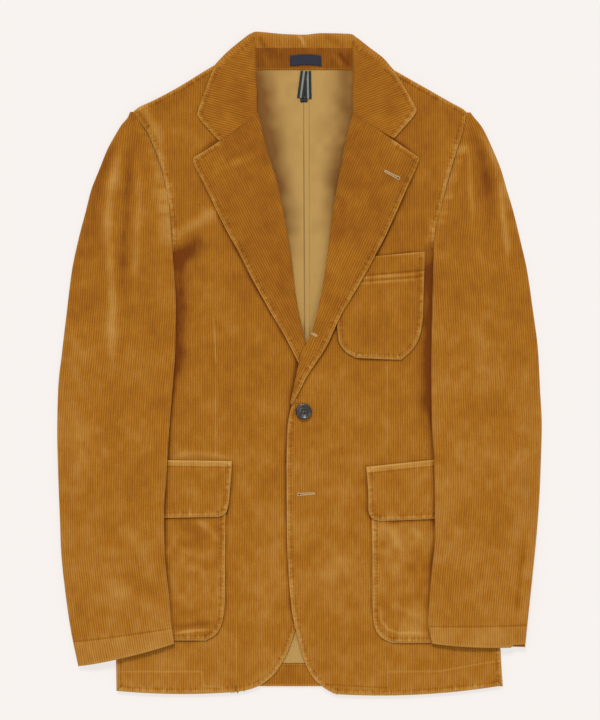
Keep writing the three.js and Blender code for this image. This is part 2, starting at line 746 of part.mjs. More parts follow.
function frontSide({ name, side, front, collar, lapel, lapelBow, chestPocket, pocket, flap, lastBow }) {
  const frontRows = insideRoll(front, collar, lapel, side);
  const frontNet = netOf(stationsOf(frontRows, DOUBLE), FRONT_COLUMNS, { lastBow });
  addPiece(`front_${name}`, laidCloth(frontNet, CORDUROY, { ridges: FRONT_RIDGES }), TAN_CORDUROY);
  if (chestPocket) {
    const chestNet = netOf(stationsOf(chestPocket, SINGLE), POCKET_COLUMNS);
    addPiece('chest_pocket', laidCloth(chestNet, CORDUROY), TAN_CORDUROY);
  }
  const lapelNet = netOf(stationsOf(lapel, DOUBLE), LAPEL_COLUMNS, { firstBow: lapelBow });
  addPiece(`lapel_${name}`, rolledCloth(lapelNet, DOUBLE_CORDUROY), TAN_CORDUROY);
  const pocketNet = netOf(stationsOf(pocket, SINGLE), POCKET_COLUMNS);
  addPiece(`lower_pocket_${name}`, laidCloth(pocketNet, CORDUROY), TAN_CORDUROY);
  const flapNet = netOf(stationsOf(flap, SINGLE), FLAP_COLUMNS);
  addPiece(`pocket_flap_${name}`, laidCloth(flapNet, CORDUROY), TAN_CORDUROY);
}

frontSide({
  name: 'right',
  side: -1,
  front: FRONT_RIGHT,
  collar: COLLAR_RIGHT,
  lapel: LAPEL_RIGHT,
  lapelBow: LAPEL_BOW_RIGHT,
  pocket: POCKET_RIGHT,
  flap: FLAP_RIGHT,
  lastBow: FRONT_HEM_BOW_RIGHT,
});
frontSide({
  name: 'left',
  side: 1,
  front: FRONT_LEFT,
  collar: COLLAR_LEFT,
  lapel: LAPEL_LEFT,
  lapelBow: 0,
  chestPocket: CHEST_POCKET,
  pocket: POCKET_LEFT,
  flap: FLAP_LEFT,
  lastBow: FRONT_HEM_BOW_LEFT,
});

// Button: a turned disc with a rim, dished in the middle, with four holes

function buttonGeometry(base) {
  const profile = [
    [0, 0],
    [0.62, 0],
    [0.92, 0.3],
    [1, 0.55],
    [0.96, 0.85],
    [0.86, 1],
    [0.68, 0.92],
    [0.55, 0.66],
    [0, 0.58],
  ].map(([radius, height]) => new THREE.Vector2(radius * BUTTON_RADIUS, height * BUTTON_HEIGHT));
  let solid = solidOf(new THREE.LatheGeometry(profile, BUTTON_SEGMENTS).rotateX(Math.PI / 2));
  for (const [holeX, holeY] of [[1, 1], [-1, 1], [-1, -1], [1, -1]]) {
    const drill = [BUTTON_HOLE_RADIUS, BUTTON_HOLE_RADIUS, 3 * BUTTON_HEIGHT, BUTTON_HOLE_SEGMENTS];
    const hole = new THREE.CylinderGeometry(...drill)
      .rotateX(Math.PI / 2)
      .translate(holeX * BUTTON_HOLE_OFFSET, holeY * BUTTON_HOLE_OFFSET, BUTTON_HEIGHT / 2);
    solid = solid.subtract(solidOf(hole));
  }
  return geometryOf(solid).translate(BUTTON_CENTRE.x, BUTTON_CENTRE.y, base);
}

const buttonArea = netOf(stationsOf(rowsOf([
  [BUTTON_CENTRE.x - BUTTON_RADIUS, BUTTON_CENTRE.y + BUTTON_RADIUS,
    BUTTON_CENTRE.x + BUTTON_RADIUS, BUTTON_CENTRE.y + BUTTON_RADIUS],
  [BUTTON_CENTRE.x - BUTTON_RADIUS, BUTTON_CENTRE.y - BUTTON_RADIUS,
    BUTTON_CENTRE.x + BUTTON_RADIUS, BUTTON_CENTRE.y - BUTTON_RADIUS],
]), SINGLE), 2);
const buttonBase = Math.max(...restingHeights(buttonArea).flat());
addPiece('front_button', buttonGeometry(buttonBase), DARK_HORN, HORN_ROUGHNESS);

// Sleeves: laid over the sides of the body

for (const { name, rows } of [{ name: 'right', rows: SLEEVE_RIGHT }, { name: 'left', rows: SLEEVE_LEFT }]) {
  const { top, bottom } = sleeveCloths(
    netOf(stationsOf(rows, SINGLE), SLEEVE_COLUMNS, { lastBow: SLEEVE_HEM_BOW }));
  addPiece(`top_sleeve_${name}`, top, TAN_CORDUROY);
  addPiece(`under_sleeve_${name}`, bottom, TAN_CORDUROY);
}

// Collar: one cloth, its two front ends on the fronts and its back part folded under the neck

const collarEnds = [COLLAR_RIGHT, COLLAR_LEFT].map((rows) =>
  rolledCloth(netOf(stationsOf(rows, SINGLE), COLLAR_COLUMNS), DOUBLE_CORDUROY));

function collarFold() {
  const allCells = { has: () => true };
  const face = (inset) => COLLAR_FOLD.map((row) => {
    const edge = new THREE.Vector2(row.foldX, row.foldY);
    const top = new THREE.Vector2(row.topX, row.topY);
    const under = new THREE.Vector2(row.underX, row.underY);
    const inner = top.y < BAND_TOP + 1 && top.x > BAND_LEFT - 1 && top.x < BAND_RIGHT;
    const topHeight = inner ? BAND_HIGH_Z + CORDUROY : pile.highest(top, 0, allCells);
    const crest = inner ? COLLAR_CREST : topHeight;
    const toTop = top.clone().sub(edge).normalize();
    const toUnder = under.clone().sub(edge).normalize();
    return [
      new THREE.Vector3(under.x, under.y, inset),
      ...FOLD_ANGLES.map((angle) =>
        foldPoint(edge, angle < 0 ? toUnder : toTop, COLLAR_FOLD_DEPTH, 0, crest, inset, angle)),
      new THREE.Vector3(top.x, top.y, topHeight - inset),
    ];
  });
  return wallBetween(face(0), face(DOUBLE_CORDUROY));
}

addPiece('collar', joined([...collarEnds, collarFold()]), TAN_CORDUROY);

export default group;
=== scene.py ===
"""A tan corduroy blazer laid flat on its back, front up, fastened at its middle button.

Lengths in the tables are millimetres; everything that is built is in metres. +X is the wearer's
left, +Y points to the collar and +Z is up from the floor.
"""
import logging
import math
from dataclasses import dataclass, field
from enum import Enum
from typing import Optional, Sequence

import bmesh
import bpy
import numpy as np
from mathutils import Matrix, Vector
from mathutils.bvhtree import BVHTree
from mathutils.kdtree import KDTree


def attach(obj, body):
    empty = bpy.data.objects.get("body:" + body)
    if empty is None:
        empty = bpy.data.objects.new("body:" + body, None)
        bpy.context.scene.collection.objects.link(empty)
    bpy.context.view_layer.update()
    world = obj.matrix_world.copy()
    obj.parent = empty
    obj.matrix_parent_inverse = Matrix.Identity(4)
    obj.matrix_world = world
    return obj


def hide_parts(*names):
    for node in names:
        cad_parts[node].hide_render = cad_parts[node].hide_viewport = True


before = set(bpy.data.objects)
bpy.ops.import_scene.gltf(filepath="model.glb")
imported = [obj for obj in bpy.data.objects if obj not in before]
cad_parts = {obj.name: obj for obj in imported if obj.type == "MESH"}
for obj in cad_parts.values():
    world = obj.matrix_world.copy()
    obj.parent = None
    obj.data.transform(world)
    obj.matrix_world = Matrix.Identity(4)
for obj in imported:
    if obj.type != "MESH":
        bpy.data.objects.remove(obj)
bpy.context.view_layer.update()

log = logging.getLogger("blazer")

MM = 0.001
WALE_PITCH = 2.75 * MM
CORDUROY_WALL = 1.5 * MM
DOUBLE_WALL = 2.1 * MM
LINING_WALL = 0.8 * MM
STITCH_INSET = 5.5 * MM
EDGE_BANDS = np.array([0.0, 0.5, 1.1, 1.9, 2.9, 3.9, 4.8, 5.5, 6.2, 7.4]) * MM
PLAIN_BANDS = np.array([0.0, 1.5]) * MM
HEM_PALING = 0.1
SHOULDER_DARKENING = 0.2
TONE_REACH = 330 * MM

Colour = tuple[float, float, float]
Plan = tuple[float, float]
Table = tuple[tuple[float, float, float, float], ...]


class Side(Enum):
    """The wearer's right or left."""

    RIGHT = -1
    LEFT = 1


class Edge(Enum):
    """One of the four edges of a cloth's net."""

    OUTER = "outer"
    INNER = "inner"
    FIRST = "first"
    LAST = "last"


class Slot(Enum):
    """The record's material slots."""

    CORDUROY = "corduroy"
    LINING = "lining"
    LABEL = "label"
    RIBBON = "ribbon"
    BUTTON = "button"


def linear(colour: Colour) -> tuple[float, float, float, float]:
    """Turns an sRGB colour of 0 to 255 into the linear colour of a socket."""
    parts = [c / 255 for c in colour]
    return tuple(p / 12.92 if p <= 0.04045 else ((p + 0.055) / 1.055) ** 2.4 for p in parts) + (1.0,)


def smooth_course(values: np.ndarray, at: np.ndarray) -> np.ndarray:
    """Follows the rows of a table on a curve that never swings past them.

    Args:
        values: The table, one row for each station.
        at: Places along it, counted in rows.

    Returns:
        One interpolated row for each place.
    """
    step = np.diff(values, axis=0)
    slope = np.zeros_like(values)
    slope[0], slope[-1] = step[0], step[-1]
    product, total = step[:-1] * step[1:], step[:-1] + step[1:]
    slope[1:-1] = np.where(product > 0, 2 * product / np.where(total == 0, 1, total), 0)
    index = np.minimum(at.astype(int), len(values) - 2)
    t = (at - index)[:, None]
    rise = t * t * (3 - 2 * t)
    leave, arrive = t * (1 - t) ** 2, t * t * (t - 1)
    return values[index] + rise * step[index] + leave * slope[index] + arrive * slope[index + 1]


def smoothstep(value: np.ndarray, low: float, high: float) -> np.ndarray:
    """Rises softly from 0 at low to 1 at high."""
    t = np.clip((value - low) / (high - low), 0, 1)
    return t * t * (3 - 2 * t)


def ripple(x: np.ndarray, y: np.ndarray, size: float, seed: int) -> np.ndarray:
    """Gives soft unevenness from -1 to 1.

    Args:
        x: One coordinate of each point.
        y: The other.
        size: The distance from one swell to the next.
        seed: Picks one pattern of swells.

    Returns:
        The height of the pattern at each point.
    """
    lattice = np.random.RandomState(seed).uniform(-1, 1, (97, 97))
    gx, gy = x / size + 1000.37, y / size + 1000.71
    ix, iy = np.floor(gx).astype(int), np.floor(gy).astype(int)
    tx, ty = gx - ix, gy - iy
    tx, ty = tx * tx * (3 - 2 * tx), ty * ty * (3 - 2 * ty)

    def corner(dx: int, dy: int) -> np.ndarray:
        """Reads the lattice at one corner of each point's cell."""
        return lattice[(ix + dx) % 97, (iy + dy) % 97]

    low = corner(0, 0) * (1 - tx) + corner(1, 0) * tx
    high = corner(0, 1) * (1 - tx) + corner(1, 1) * tx
    return low * (1 - ty) + high * ty


def across_cloth(width: np.ndarray, spacing: float, first: np.ndarray, last: np.ndarray) -> np.ndarray:
    """Places the columns of a net: close together at its edges, even between them.

    Args:
        width: The cloth's width at each station.
        spacing: The widest step between columns.
        first: Distances of the columns beside the first edge.
        last: Distances of the columns beside the last edge.

    Returns:
        The distance of each column from the first edge, one row for each station.
    """
    middle = max(1, math.ceil((width.max() - first[-1] - last[-1]) / spacing) - 1)
    scale = np.minimum(1, width / (2.4 * (first[-1] + last[-1]) / 2 + 1e-9))[:, None]
    left, right = scale * first, width[:, None] - scale * last[::-1]
    part = np.arange(1, middle + 1) / (middle + 1)
    between = left[:, -1:] + (right[:, :1] - left[:, -1:]) * part
    return np.concatenate([left, between, right], axis=1)


def filled(heights: np.ndarray) -> np.ndarray:
    """Fills the gaps of a height net from their neighbours."""
    heights = heights.copy()
    while np.isnan(heights).any():
        padded = np.pad(heights, 1, constant_values=np.nan)
        around = np.stack([padded[:-2, 1:-1], padded[2:, 1:-1], padded[1:-1, :-2], padded[1:-1, 2:]])
        known = ~np.isnan(around)
        total = np.where(known, around, 0).sum(0)
        count = known.sum(0)
        ready = np.isnan(heights) & (count > 0)
        if not ready.any():
            return np.nan_to_num(heights, nan=0.003)
        heights[ready] = total[ready] / count[ready]
    return heights


def smoothed(heights: np.ndarray, passes: int) -> np.ndarray:
    """Evens out a height net."""
    for _ in range(passes):
        padded = np.pad(heights, 1, mode="edge")
        around = padded[:-2, 1:-1] + padded[2:, 1:-1] + padded[1:-1, :-2] + padded[1:-1, 2:]
        heights = 0.4 * heights + 0.15 * around
    return heights


class Surface:
    """The faces of some meshes, whose heights a cloth or a thread follows."""

    def __init__(self, *meshes: bpy.types.Mesh) -> None:
        """Gathers the faces.

        Args:
            meshes: The meshes, placed in the garment's frame.
        """
        corners: list[Vector] = []
        faces: list[list[int]] = []
        for mesh in meshes:
            start = len(corners)
            corners.extend(v.co.copy() for v in mesh.vertices)
            faces.extend([start + i for i in p.vertices] for p in mesh.polygons)
        self.tree = BVHTree.FromPolygons(corners, faces)

    def heights(self, plan: np.ndarray, above: bool = True) -> np.ndarray:
        """Measures the surface over a net of plan points.

        Args:
            plan: The points, with x and y last.
            above: Whether to look from above or from below.

        Returns:
            The height at each point, or nan beside the solid.
        """
        start, way = (1.0, Vector((0, 0, -1))) if above else (-1.0, Vector((0, 0, 1)))
        flat = plan.reshape(-1, 2)
        found = np.full(len(flat), np.nan)
        for n, (x, y) in enumerate(flat.tolist()):
            hit = self.tree.ray_cast(Vector((x, y, start)), way)[0]
            if hit is not None:
                found[n] = hit.z
        return found.reshape(plan.shape[:-1])


def packed(*nodes: str) -> Surface:
    """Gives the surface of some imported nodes."""
    return Surface(*(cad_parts[node].data for node in nodes))


@dataclass(frozen=True)
class Band:
    """A hem or band turned along the first or last edge of a cloth, in millimetres."""

    edge: Edge
    depth: float
    tone: float = 0.15
    groove: float = 0.5
    raised: float = 0.0


@dataclass(frozen=True)
class Crease:
    """A soft ridge or trough pressed into the cloth or made by wear, in millimetres; its tone paints a highlight along
    a ridge and shade along a trough, or a shadow where it has no height.
    """

    path: tuple[Plan, ...]
    width: float
    height: float
    tone: float = 0.0

    def strength(self, x: np.ndarray, y: np.ndarray) -> np.ndarray:
        """Says how strongly each point is on the crease, from 0 to about 1."""
        best = np.full(x.shape, np.inf)
        place = np.zeros(x.shape)
        points = np.array(self.path) * MM
        runs = np.hypot(*np.diff(points, axis=0).T)
        total, before = runs.sum(), 0.0
        for start, end, run in zip(points[:-1], points[1:], runs):
            way = (end - start) / run
            along = np.clip((x - start[0]) * way[0] + (y - start[1]) * way[1], 0, run)
            away = np.hypot(x - start[0] - along * way[0], y - start[1] - along * way[1])
            nearer = away < best
            best = np.where(nearer, away, best)
            place = np.where(nearer, (before + along) / total, place)
            before += run
        seed = int(abs(self.path[0][0]) * 7 + abs(self.path[0][1])) % 1000
        uneven = 1 + 0.3 * ripple(place * total, place * 0, 16 * MM, seed)
        fade = smoothstep(np.minimum(place, 1 - place), -0.06, 0.22)
        return np.exp(-((best / (0.42 * self.width * MM * (0.8 + 0.2 * uneven))) ** 2)) * fade * uneven


class NodeTree:
    """Builds the node tree of one material."""

    def __init__(self, name: str) -> None:
        """Starts an empty material.

        Args:
            name: The material's name.
        """
        self.material = bpy.data.materials.new(name)
        self.material.use_nodes = True
        self.tree = self.material.node_tree
        self.tree.nodes.clear()

    def add(self, kind: str, settings: Optional[dict] = None, **inputs: object) -> bpy.types.Node:
        """Adds a node.

        Args:
            kind: The node's type name, without its ShaderNode prefix.
            settings: Properties of the node.
            inputs: Values or sockets for its inputs, with _ for a space in their names.

        Returns:
            The node.
        """
        node = self.tree.nodes.new("ShaderNode" + kind)
        for name, value in (settings or {}).items():
            setattr(node, name, value)
        for name, value in inputs.items():
            self.feed(node.inputs[name.replace("_", " ")], value)
        return node

    def feed(self, socket: bpy.types.NodeSocket, value: object) -> None:
        """Links a socket or sets its value."""
        if isinstance(value, bpy.types.NodeSocket):
            self.tree.links.new(value, socket)
        else:
            socket.default_value = value

    def math(self, operation: str, *values: object, clamp: bool = False) -> bpy.types.NodeSocket:
        """Adds a Math node and gives its result."""
        node = self.add("Math", {"operation": operation, "use_clamp": clamp})
        for socket, value in zip(node.inputs, values):
            self.feed(socket, value)
        return node.outputs[0]

    def blend(self, amount: object, low: object, high: object) -> bpy.types.NodeSocket:
        """Mixes two colours by an amount."""
        node = self.add("Mix", {"data_type": "RGBA", "blend_type": "MIX", "clamp_factor": True})
        for socket, value in ((node.inputs[0], amount), (node.inputs[6], low), (node.inputs[7], high)):
            self.feed(socket, value)
        return node.outputs[2]

    def spread(self, value: object, low: float, high: float, to_low: float, to_high: float) -> bpy.types.NodeSocket:
        """Maps a value from one range softly to another."""
        node = self.add("MapRange", {"interpolation_type": "SMOOTHSTEP"})
        for n, item in enumerate((value, low, high, to_low, to_high)):
            self.feed(node.inputs[n], item)
        return node.outputs[0]

    def noise(self, vector: object, scale: float, detail: float = 2.0) -> bpy.types.NodeSocket:
        """Adds a noise texture and gives its value."""
        node = self.add("TexNoise", Vector=vector, Scale=scale, Detail=detail, Roughness=0.55)
        return node.outputs[0]

    def finish(self, height: bpy.types.NodeSocket, **values: object) -> bpy.types.Material:
        """Adds the shader and its bump.

        Args:
            height: The bump's height in metres.
            values: Inputs of the Principled shader.

        Returns:
            The finished material.
        """
        shader = self.add("BsdfPrincipled", **values)
        bump = self.add("Bump", Strength=1.0, Distance=1.0, Height=height)
        self.tree.links.new(bump.outputs[0], shader.inputs["Normal"])
        output = self.add("OutputMaterial")
        self.tree.links.new(shader.outputs[0], output.inputs[0])
        return self.material


@dataclass(frozen=True)
class SeamLine:
    """A straight sewn line drawn in the nap, in millimetres."""

    start: Plan
    end: Plan
    tone: float = -0.5
    half_width: float = 0.9
    groove: float = 0.5


def sewn_in(nodes: NodeTree, place: bpy.types.NodeSocket, seams: Sequence[SeamLine], tone: bpy.types.NodeSocket,
            height: bpy.types.NodeSocket) -> tuple[bpy.types.NodeSocket, bpy.types.NodeSocket]:
    """Draws seam lines into a cloth's tone and height.

    Args:
        nodes: The material's nodes.
        place: The object's own coordinates.
        seams: The lines.
        tone: The tone without them.
        height: The bump's height without them.

    Returns:
        The tone and the height with them.
    """
    for seam in seams:
        start, end = (Vector(p) * MM for p in (seam.start, seam.end))
        way = end - start
        turned = nodes.add("Mapping", {"vector_type": "TEXTURE"}, Vector=place,
                           Location=(start.x, start.y, 0), Rotation=(0, 0, math.atan2(way.y, way.x)))
        parts = nodes.add("SeparateXYZ", Vector=turned.outputs[0])
        aside = nodes.math("ABSOLUTE", parts.outputs[1])
        line = nodes.spread(aside, seam.half_width * 0.35 * MM, seam.half_width * MM, 1, 0)
        middle = nodes.math("ABSOLUTE", nodes.math("SUBTRACT", parts.outputs[0], way.length / 2))
        inside = nodes.spread(middle, way.length / 2 - 1 * MM, way.length / 2 + 1 * MM, 1, 0)
        mask = nodes.math("MULTIPLY", line, inside)
        tone = nodes.math("MULTIPLY_ADD", mask, seam.tone, tone)
        height = nodes.math("MULTIPLY_ADD", mask, -seam.groove * MM, height)
    return tone, height


@dataclass(frozen=True)
class CorduroyFinish:
    """Garment-washed corduroy: ridged pile, pale where rubbed by wear and with painted highlight on ridges, and with
    painted shade where it lies low in hollows or under other cloth.
    """

    name: str
    # The groove colour is partly the ground cloth's own and partly painted shade in the grooves between the wales; the
    # pile colour on the ridges is partly a painted highlight.
    groove: Colour = (141, 82, 13)
    pile: Colour = (185, 124, 37)
    # The pale colour shows rubbed wear and painted highlight on ridges, puckers and folded edges; the dark colour is
    # painted shade in troughs, hollows and along cloths lying on this one, plus darker random mottling.
    wear_and_highlight: Colour = (196, 148, 76)
    shade_and_mottle: Colour = (112, 56, 10)
    pucker: float = 1.5
    seams: tuple[SeamLine, ...] = ()

    def material(self) -> bpy.types.Material:
        """Builds the corduroy from the cloth's grain map and its tone attribute."""
        nodes = NodeTree(self.name)
        grain = nodes.add("UVMap", {"uv_map": "grain"}).outputs[0]
        place = nodes.add("TexCoord").outputs["Object"]
        tone = nodes.add("Attribute", {"attribute_name": "tone"}).outputs["Fac"]
        parts = nodes.add("SeparateXYZ", Vector=grain)
        drift = nodes.noise(place, 28.0, 1.0)
        phase = nodes.math("MULTIPLY_ADD", parts.outputs[0], 2 * math.pi / WALE_PITCH,
                           nodes.math("MULTIPLY", drift, 5.0))
        flat = nodes.math("MULTIPLY_ADD", nodes.noise(place, 95.0, 2.0), -0.5, 0.72)
        wale = nodes.math("MULTIPLY_ADD", nodes.math("SINE", phase), nodes.math("MULTIPLY", flat, 0.85), 0.5)
        stretched = nodes.add("Mapping", {"vector_type": "POINT"}, Vector=grain, Scale=(1.0, 0.28, 1.0))
        fibre = nodes.noise(stretched.outputs[0], 1500.0, 2.0)
        blotch = nodes.noise(place, 55.0, 3.0)
        cloud = nodes.noise(place, 9.0, 2.0)
        drawn = nodes.add("Mapping", {"vector_type": "POINT"}, Vector=grain, Scale=(1.0, 0.13, 1.0))
        fleck = nodes.noise(drawn.outputs[0], 420.0, 1.0)
        height = nodes.math("MULTIPLY_ADD", fibre, 0.10 * MM, nodes.math("MULTIPLY", wale, 0.34 * MM))
        tone, height = sewn_in(nodes, place, self.seams, tone, height)
        sewing = nodes.add("UVMap", {"uv_map": "sewing"}).outputs[0]
        inside = nodes.add("SeparateXYZ", Vector=sewing).outputs[1]
        squeezed = nodes.add("Mapping", {"vector_type": "POINT"}, Vector=sewing, Scale=(1.0, 0.3, 1.0)).outputs[0]
        # Puckers along sewn edges: a bump, with painted light and shade on their crests and hollows.
        pucker = nodes.math("SUBTRACT", nodes.noise(squeezed, 330.0, 1.0), 0.5)
        near = nodes.math("MULTIPLY", nodes.spread(inside, 0.2 * MM, 2.0 * MM, 0.2, 1),
                          nodes.spread(inside, 4.5 * MM, 10 * MM, 1, 0))
        pucker = nodes.math("MULTIPLY", pucker, near)
        tone = nodes.math("MULTIPLY_ADD", pucker, self.pucker, tone)
        height = nodes.math("MULTIPLY_ADD", pucker, 1.1 * MM, height)
        # The wale stripes mix the groove and pile colours: painted light on the ridges and painted shade in the
        # grooves, over the cloth's own stripes.
        lit = nodes.math("MULTIPLY_ADD", fibre, 0.34, nodes.math("MULTIPLY_ADD", wale, 0.72, -0.14), clamp=True)
        colour = nodes.blend(lit, linear(self.groove), linear(self.pile))
        tone = nodes.math("MULTIPLY_ADD", nodes.math("SUBTRACT", fleck, 0.5), 0.5, tone)
        # The tone (painted light and shade, and wear) and the random mottling pull the colour towards the pale or the
        # dark colour; the pale one falls more on the wale ridges as painted highlight.
        tone_with_mottle = nodes.math("MULTIPLY_ADD", nodes.math("SUBTRACT", blotch, 0.5), 0.6,
                             nodes.math("MULTIPLY_ADD", nodes.math("SUBTRACT", cloud, 0.5), 0.3, tone))
        pale = nodes.math("MULTIPLY", tone_with_mottle, nodes.math("MULTIPLY_ADD", wale, 0.5, 0.62), clamp=True)
        dark = nodes.math("MULTIPLY", tone_with_mottle, -1.0, clamp=True)
        colour = nodes.blend(pale, colour, linear(self.wear_and_highlight))
        colour = nodes.blend(dark, colour, linear(self.shade_and_mottle))
        return nodes.finish(height, Base_Color=colour, Roughness=0.92, Specular_IOR_Level=0.12,
                            Sheen_Weight=0.22, Sheen_Roughness=0.45, Sheen_Tint=linear((232, 180, 110)))


@dataclass(frozen=True)
class LiningFinish:
    """Plain-woven cotton lining with a soft bloom."""

    name: str = "tan_cotton_lining"
    base: Colour = (180, 142, 78)
    shade: Colour = (122, 80, 32)
    seams: tuple[SeamLine, ...] = ()

    def material(self) -> bpy.types.Material:
        """Builds the lining's weave and its soft painted shade: random clouding and painted shadow from its tone."""
        nodes = NodeTree(self.name)
        grain = nodes.add("UVMap", {"uv_map": "grain"}).outputs[0]
        place = nodes.add("TexCoord").outputs["Object"]
        tone = nodes.add("Attribute", {"attribute_name": "tone"}).outputs["Fac"]
        parts = nodes.add("SeparateXYZ", Vector=grain)
        threads = [nodes.math("SINE", nodes.math("MULTIPLY", parts.outputs[n], 2 * math.pi / (0.55 * MM)))
                   for n in (0, 1)]
        weave = nodes.math("MULTIPLY", *threads)
        slub = nodes.noise(nodes.add("Mapping", Vector=grain, Scale=(1.0, 0.12, 1.0)).outputs[0], 700.0, 2.0)
        cloud = nodes.noise(place, 14.0, 2.0)
        height = nodes.math("MULTIPLY_ADD", weave, 0.03 * MM, nodes.math("MULTIPLY", slub, 0.05 * MM))
        tone, height = sewn_in(nodes, place, self.seams, tone, height)
        # The shade colour is laid where the tone is low, as painted shadow, and where the random clouding is dark.
        shade = nodes.math("MULTIPLY_ADD", nodes.math("SUBTRACT", cloud, 0.5), -0.35,
                           nodes.math("MULTIPLY", tone, -1.0), clamp=True)
        colour = nodes.blend(nodes.math("MULTIPLY", slub, 0.16), linear(self.base), linear((206, 172, 110)))
        colour = nodes.blend(shade, colour, linear(self.shade))
        return nodes.finish(height, Base_Color=colour, Roughness=0.8, Specular_IOR_Level=0.2,
                            Sheen_Weight=0.1, Sheen_Roughness=0.5)


@dataclass(frozen=True)
class TapeFinish:
    """A woven tape or label: a dark ground, with one pale stripe along it if it has a width."""

    name: str
    ground: Colour
    stripe: Colour = (132, 130, 118)
    stripe_half_width: float = 0.0

    def material(self) -> bpy.types.Material:
        """Builds the fine crosswise ribs and the stripe."""
        nodes = NodeTree(self.name)
        grain = nodes.add("UVMap", {"uv_map": "grain"}).outputs[0]
        parts = nodes.add("SeparateXYZ", Vector=grain)
        rib = nodes.math("SINE", nodes.math("MULTIPLY", parts.outputs[1], 2 * math.pi / (0.5 * MM)))
        warp = nodes.math("SINE", nodes.math("MULTIPLY", parts.outputs[0], 2 * math.pi / (0.35 * MM)))
        fleck = nodes.noise(grain, 900.0, 2.0)
        ground = nodes.blend(nodes.math("MULTIPLY", fleck, 0.3), linear(self.ground),
                             linear(tuple(min(255, c + 24) for c in self.ground)))
        aside = nodes.math("ABSOLUTE", parts.outputs[0])
        edge = self.stripe_half_width * MM
        mask = nodes.spread(aside, edge * 0.85, edge * 1.1 + 1e-6, 1 if edge else 0, 0)
        colour = nodes.blend(mask, ground, linear(self.stripe))
        height = nodes.math("MULTIPLY_ADD", rib, 0.03 * MM, nodes.math("MULTIPLY", warp, 0.015 * MM))
        return nodes.finish(height, Base_Color=colour, Roughness=0.55, Specular_IOR_Level=0.35,
                            Sheen_Weight=0.08)


@dataclass(frozen=True)
class ThreadFinish:
    """Twisted sewing thread."""

    name: str
    colour: Colour

    def material(self) -> bpy.types.Material:
        """Builds the thread's twist and its slight gloss."""
        nodes = NodeTree(self.name)
        place = nodes.add("TexCoord").outputs["Object"]
        fleck = nodes.noise(place, 1800.0, 2.0)
        colour = nodes.blend(nodes.math("MULTIPLY", fleck, 0.4), linear(self.colour),
                             linear(tuple(c * 0.62 for c in self.colour)))
        return nodes.finish(nodes.math("MULTIPLY", fleck, 0.08 * MM), Base_Color=colour, Roughness=0.6,
                            Specular_IOR_Level=0.3)


@dataclass(frozen=True)
class HornFinish:
    """Dark polished horn, mottled grey and brown."""

    name: str = "dark_horn"
    dark: Colour = (16, 17, 24)
    middle: Colour = (44, 40, 42)
    streak: Colour = (84, 76, 68)

    def material(self) -> bpy.types.Material:
        """Builds the horn's streaks under a clear polish."""
        nodes = NodeTree(self.name)
        place = nodes.add("TexCoord").outputs["Object"]
        drawn = nodes.add("Mapping", Vector=place, Rotation=(0, 0, 0.6), Scale=(1.0, 0.35, 1.0)).outputs[0]
        wide = nodes.noise(drawn, 190.0, 3.0)
        fine = nodes.noise(drawn, 620.0, 4.0)
        colour = nodes.blend(nodes.spread(wide, 0.35, 0.62, 0, 1), linear(self.dark), linear(self.middle))
        colour = nodes.blend(nodes.spread(fine, 0.52, 0.7, 0, 0.8), colour, linear(self.streak))
        return nodes.finish(nodes.math("MULTIPLY", fine, 0.03 * MM), Base_Color=colour, Roughness=0.32,
                            Specular_IOR_Level=0.5, Coat_Weight=0.35, Coat_Roughness=0.12)


@dataclass(frozen=True)
class FloorFinish:
    """A pale light table."""

    name: str = "pale_floor"
    colour: Colour = (247, 242, 239)
    glow: float = 0.77
    lit: float = 0.22

    def material(self) -> bpy.types.Material:
        """Builds the floor, partly lit from inside so that its shadows stay faint."""
        nodes = NodeTree(self.name)
        place = nodes.add("TexCoord").outputs["Object"]
        grit = nodes.noise(place, 400.0, 2.0)
        matt = tuple(c * self.lit for c in linear(self.colour)[:3]) + (1.0,)
        return nodes.finish(nodes.math("MULTIPLY", grit, 0.02 * MM), Base_Color=matt, Roughness=0.9,
                            Specular_IOR_Level=0.0, Emission_Color=linear(self.colour), Emission_Strength=self.glow)


def declare(obj: bpy.types.Object, node: Optional[str]) -> bpy.types.Object:
    """Puts a piece on the garment's body and hides the imported node that it stands for."""
    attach(obj, "root")
    if node:
        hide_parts(node)
    log.info("%s: %d faces", obj.name, len(obj.data.polygons))
    return obj


def linked(name: str, mesh: bpy.types.Mesh, material: bpy.types.Material) -> bpy.types.Object:
    """Makes an object of a mesh, shaded smooth, with its finish."""
    mesh.materials.clear()
    mesh.materials.append(material)
    mesh.polygons.foreach_set("use_smooth", [True] * len(mesh.polygons))
    obj = bpy.data.objects.new(name, mesh)
    bpy.context.scene.collection.objects.link(obj)
    return obj


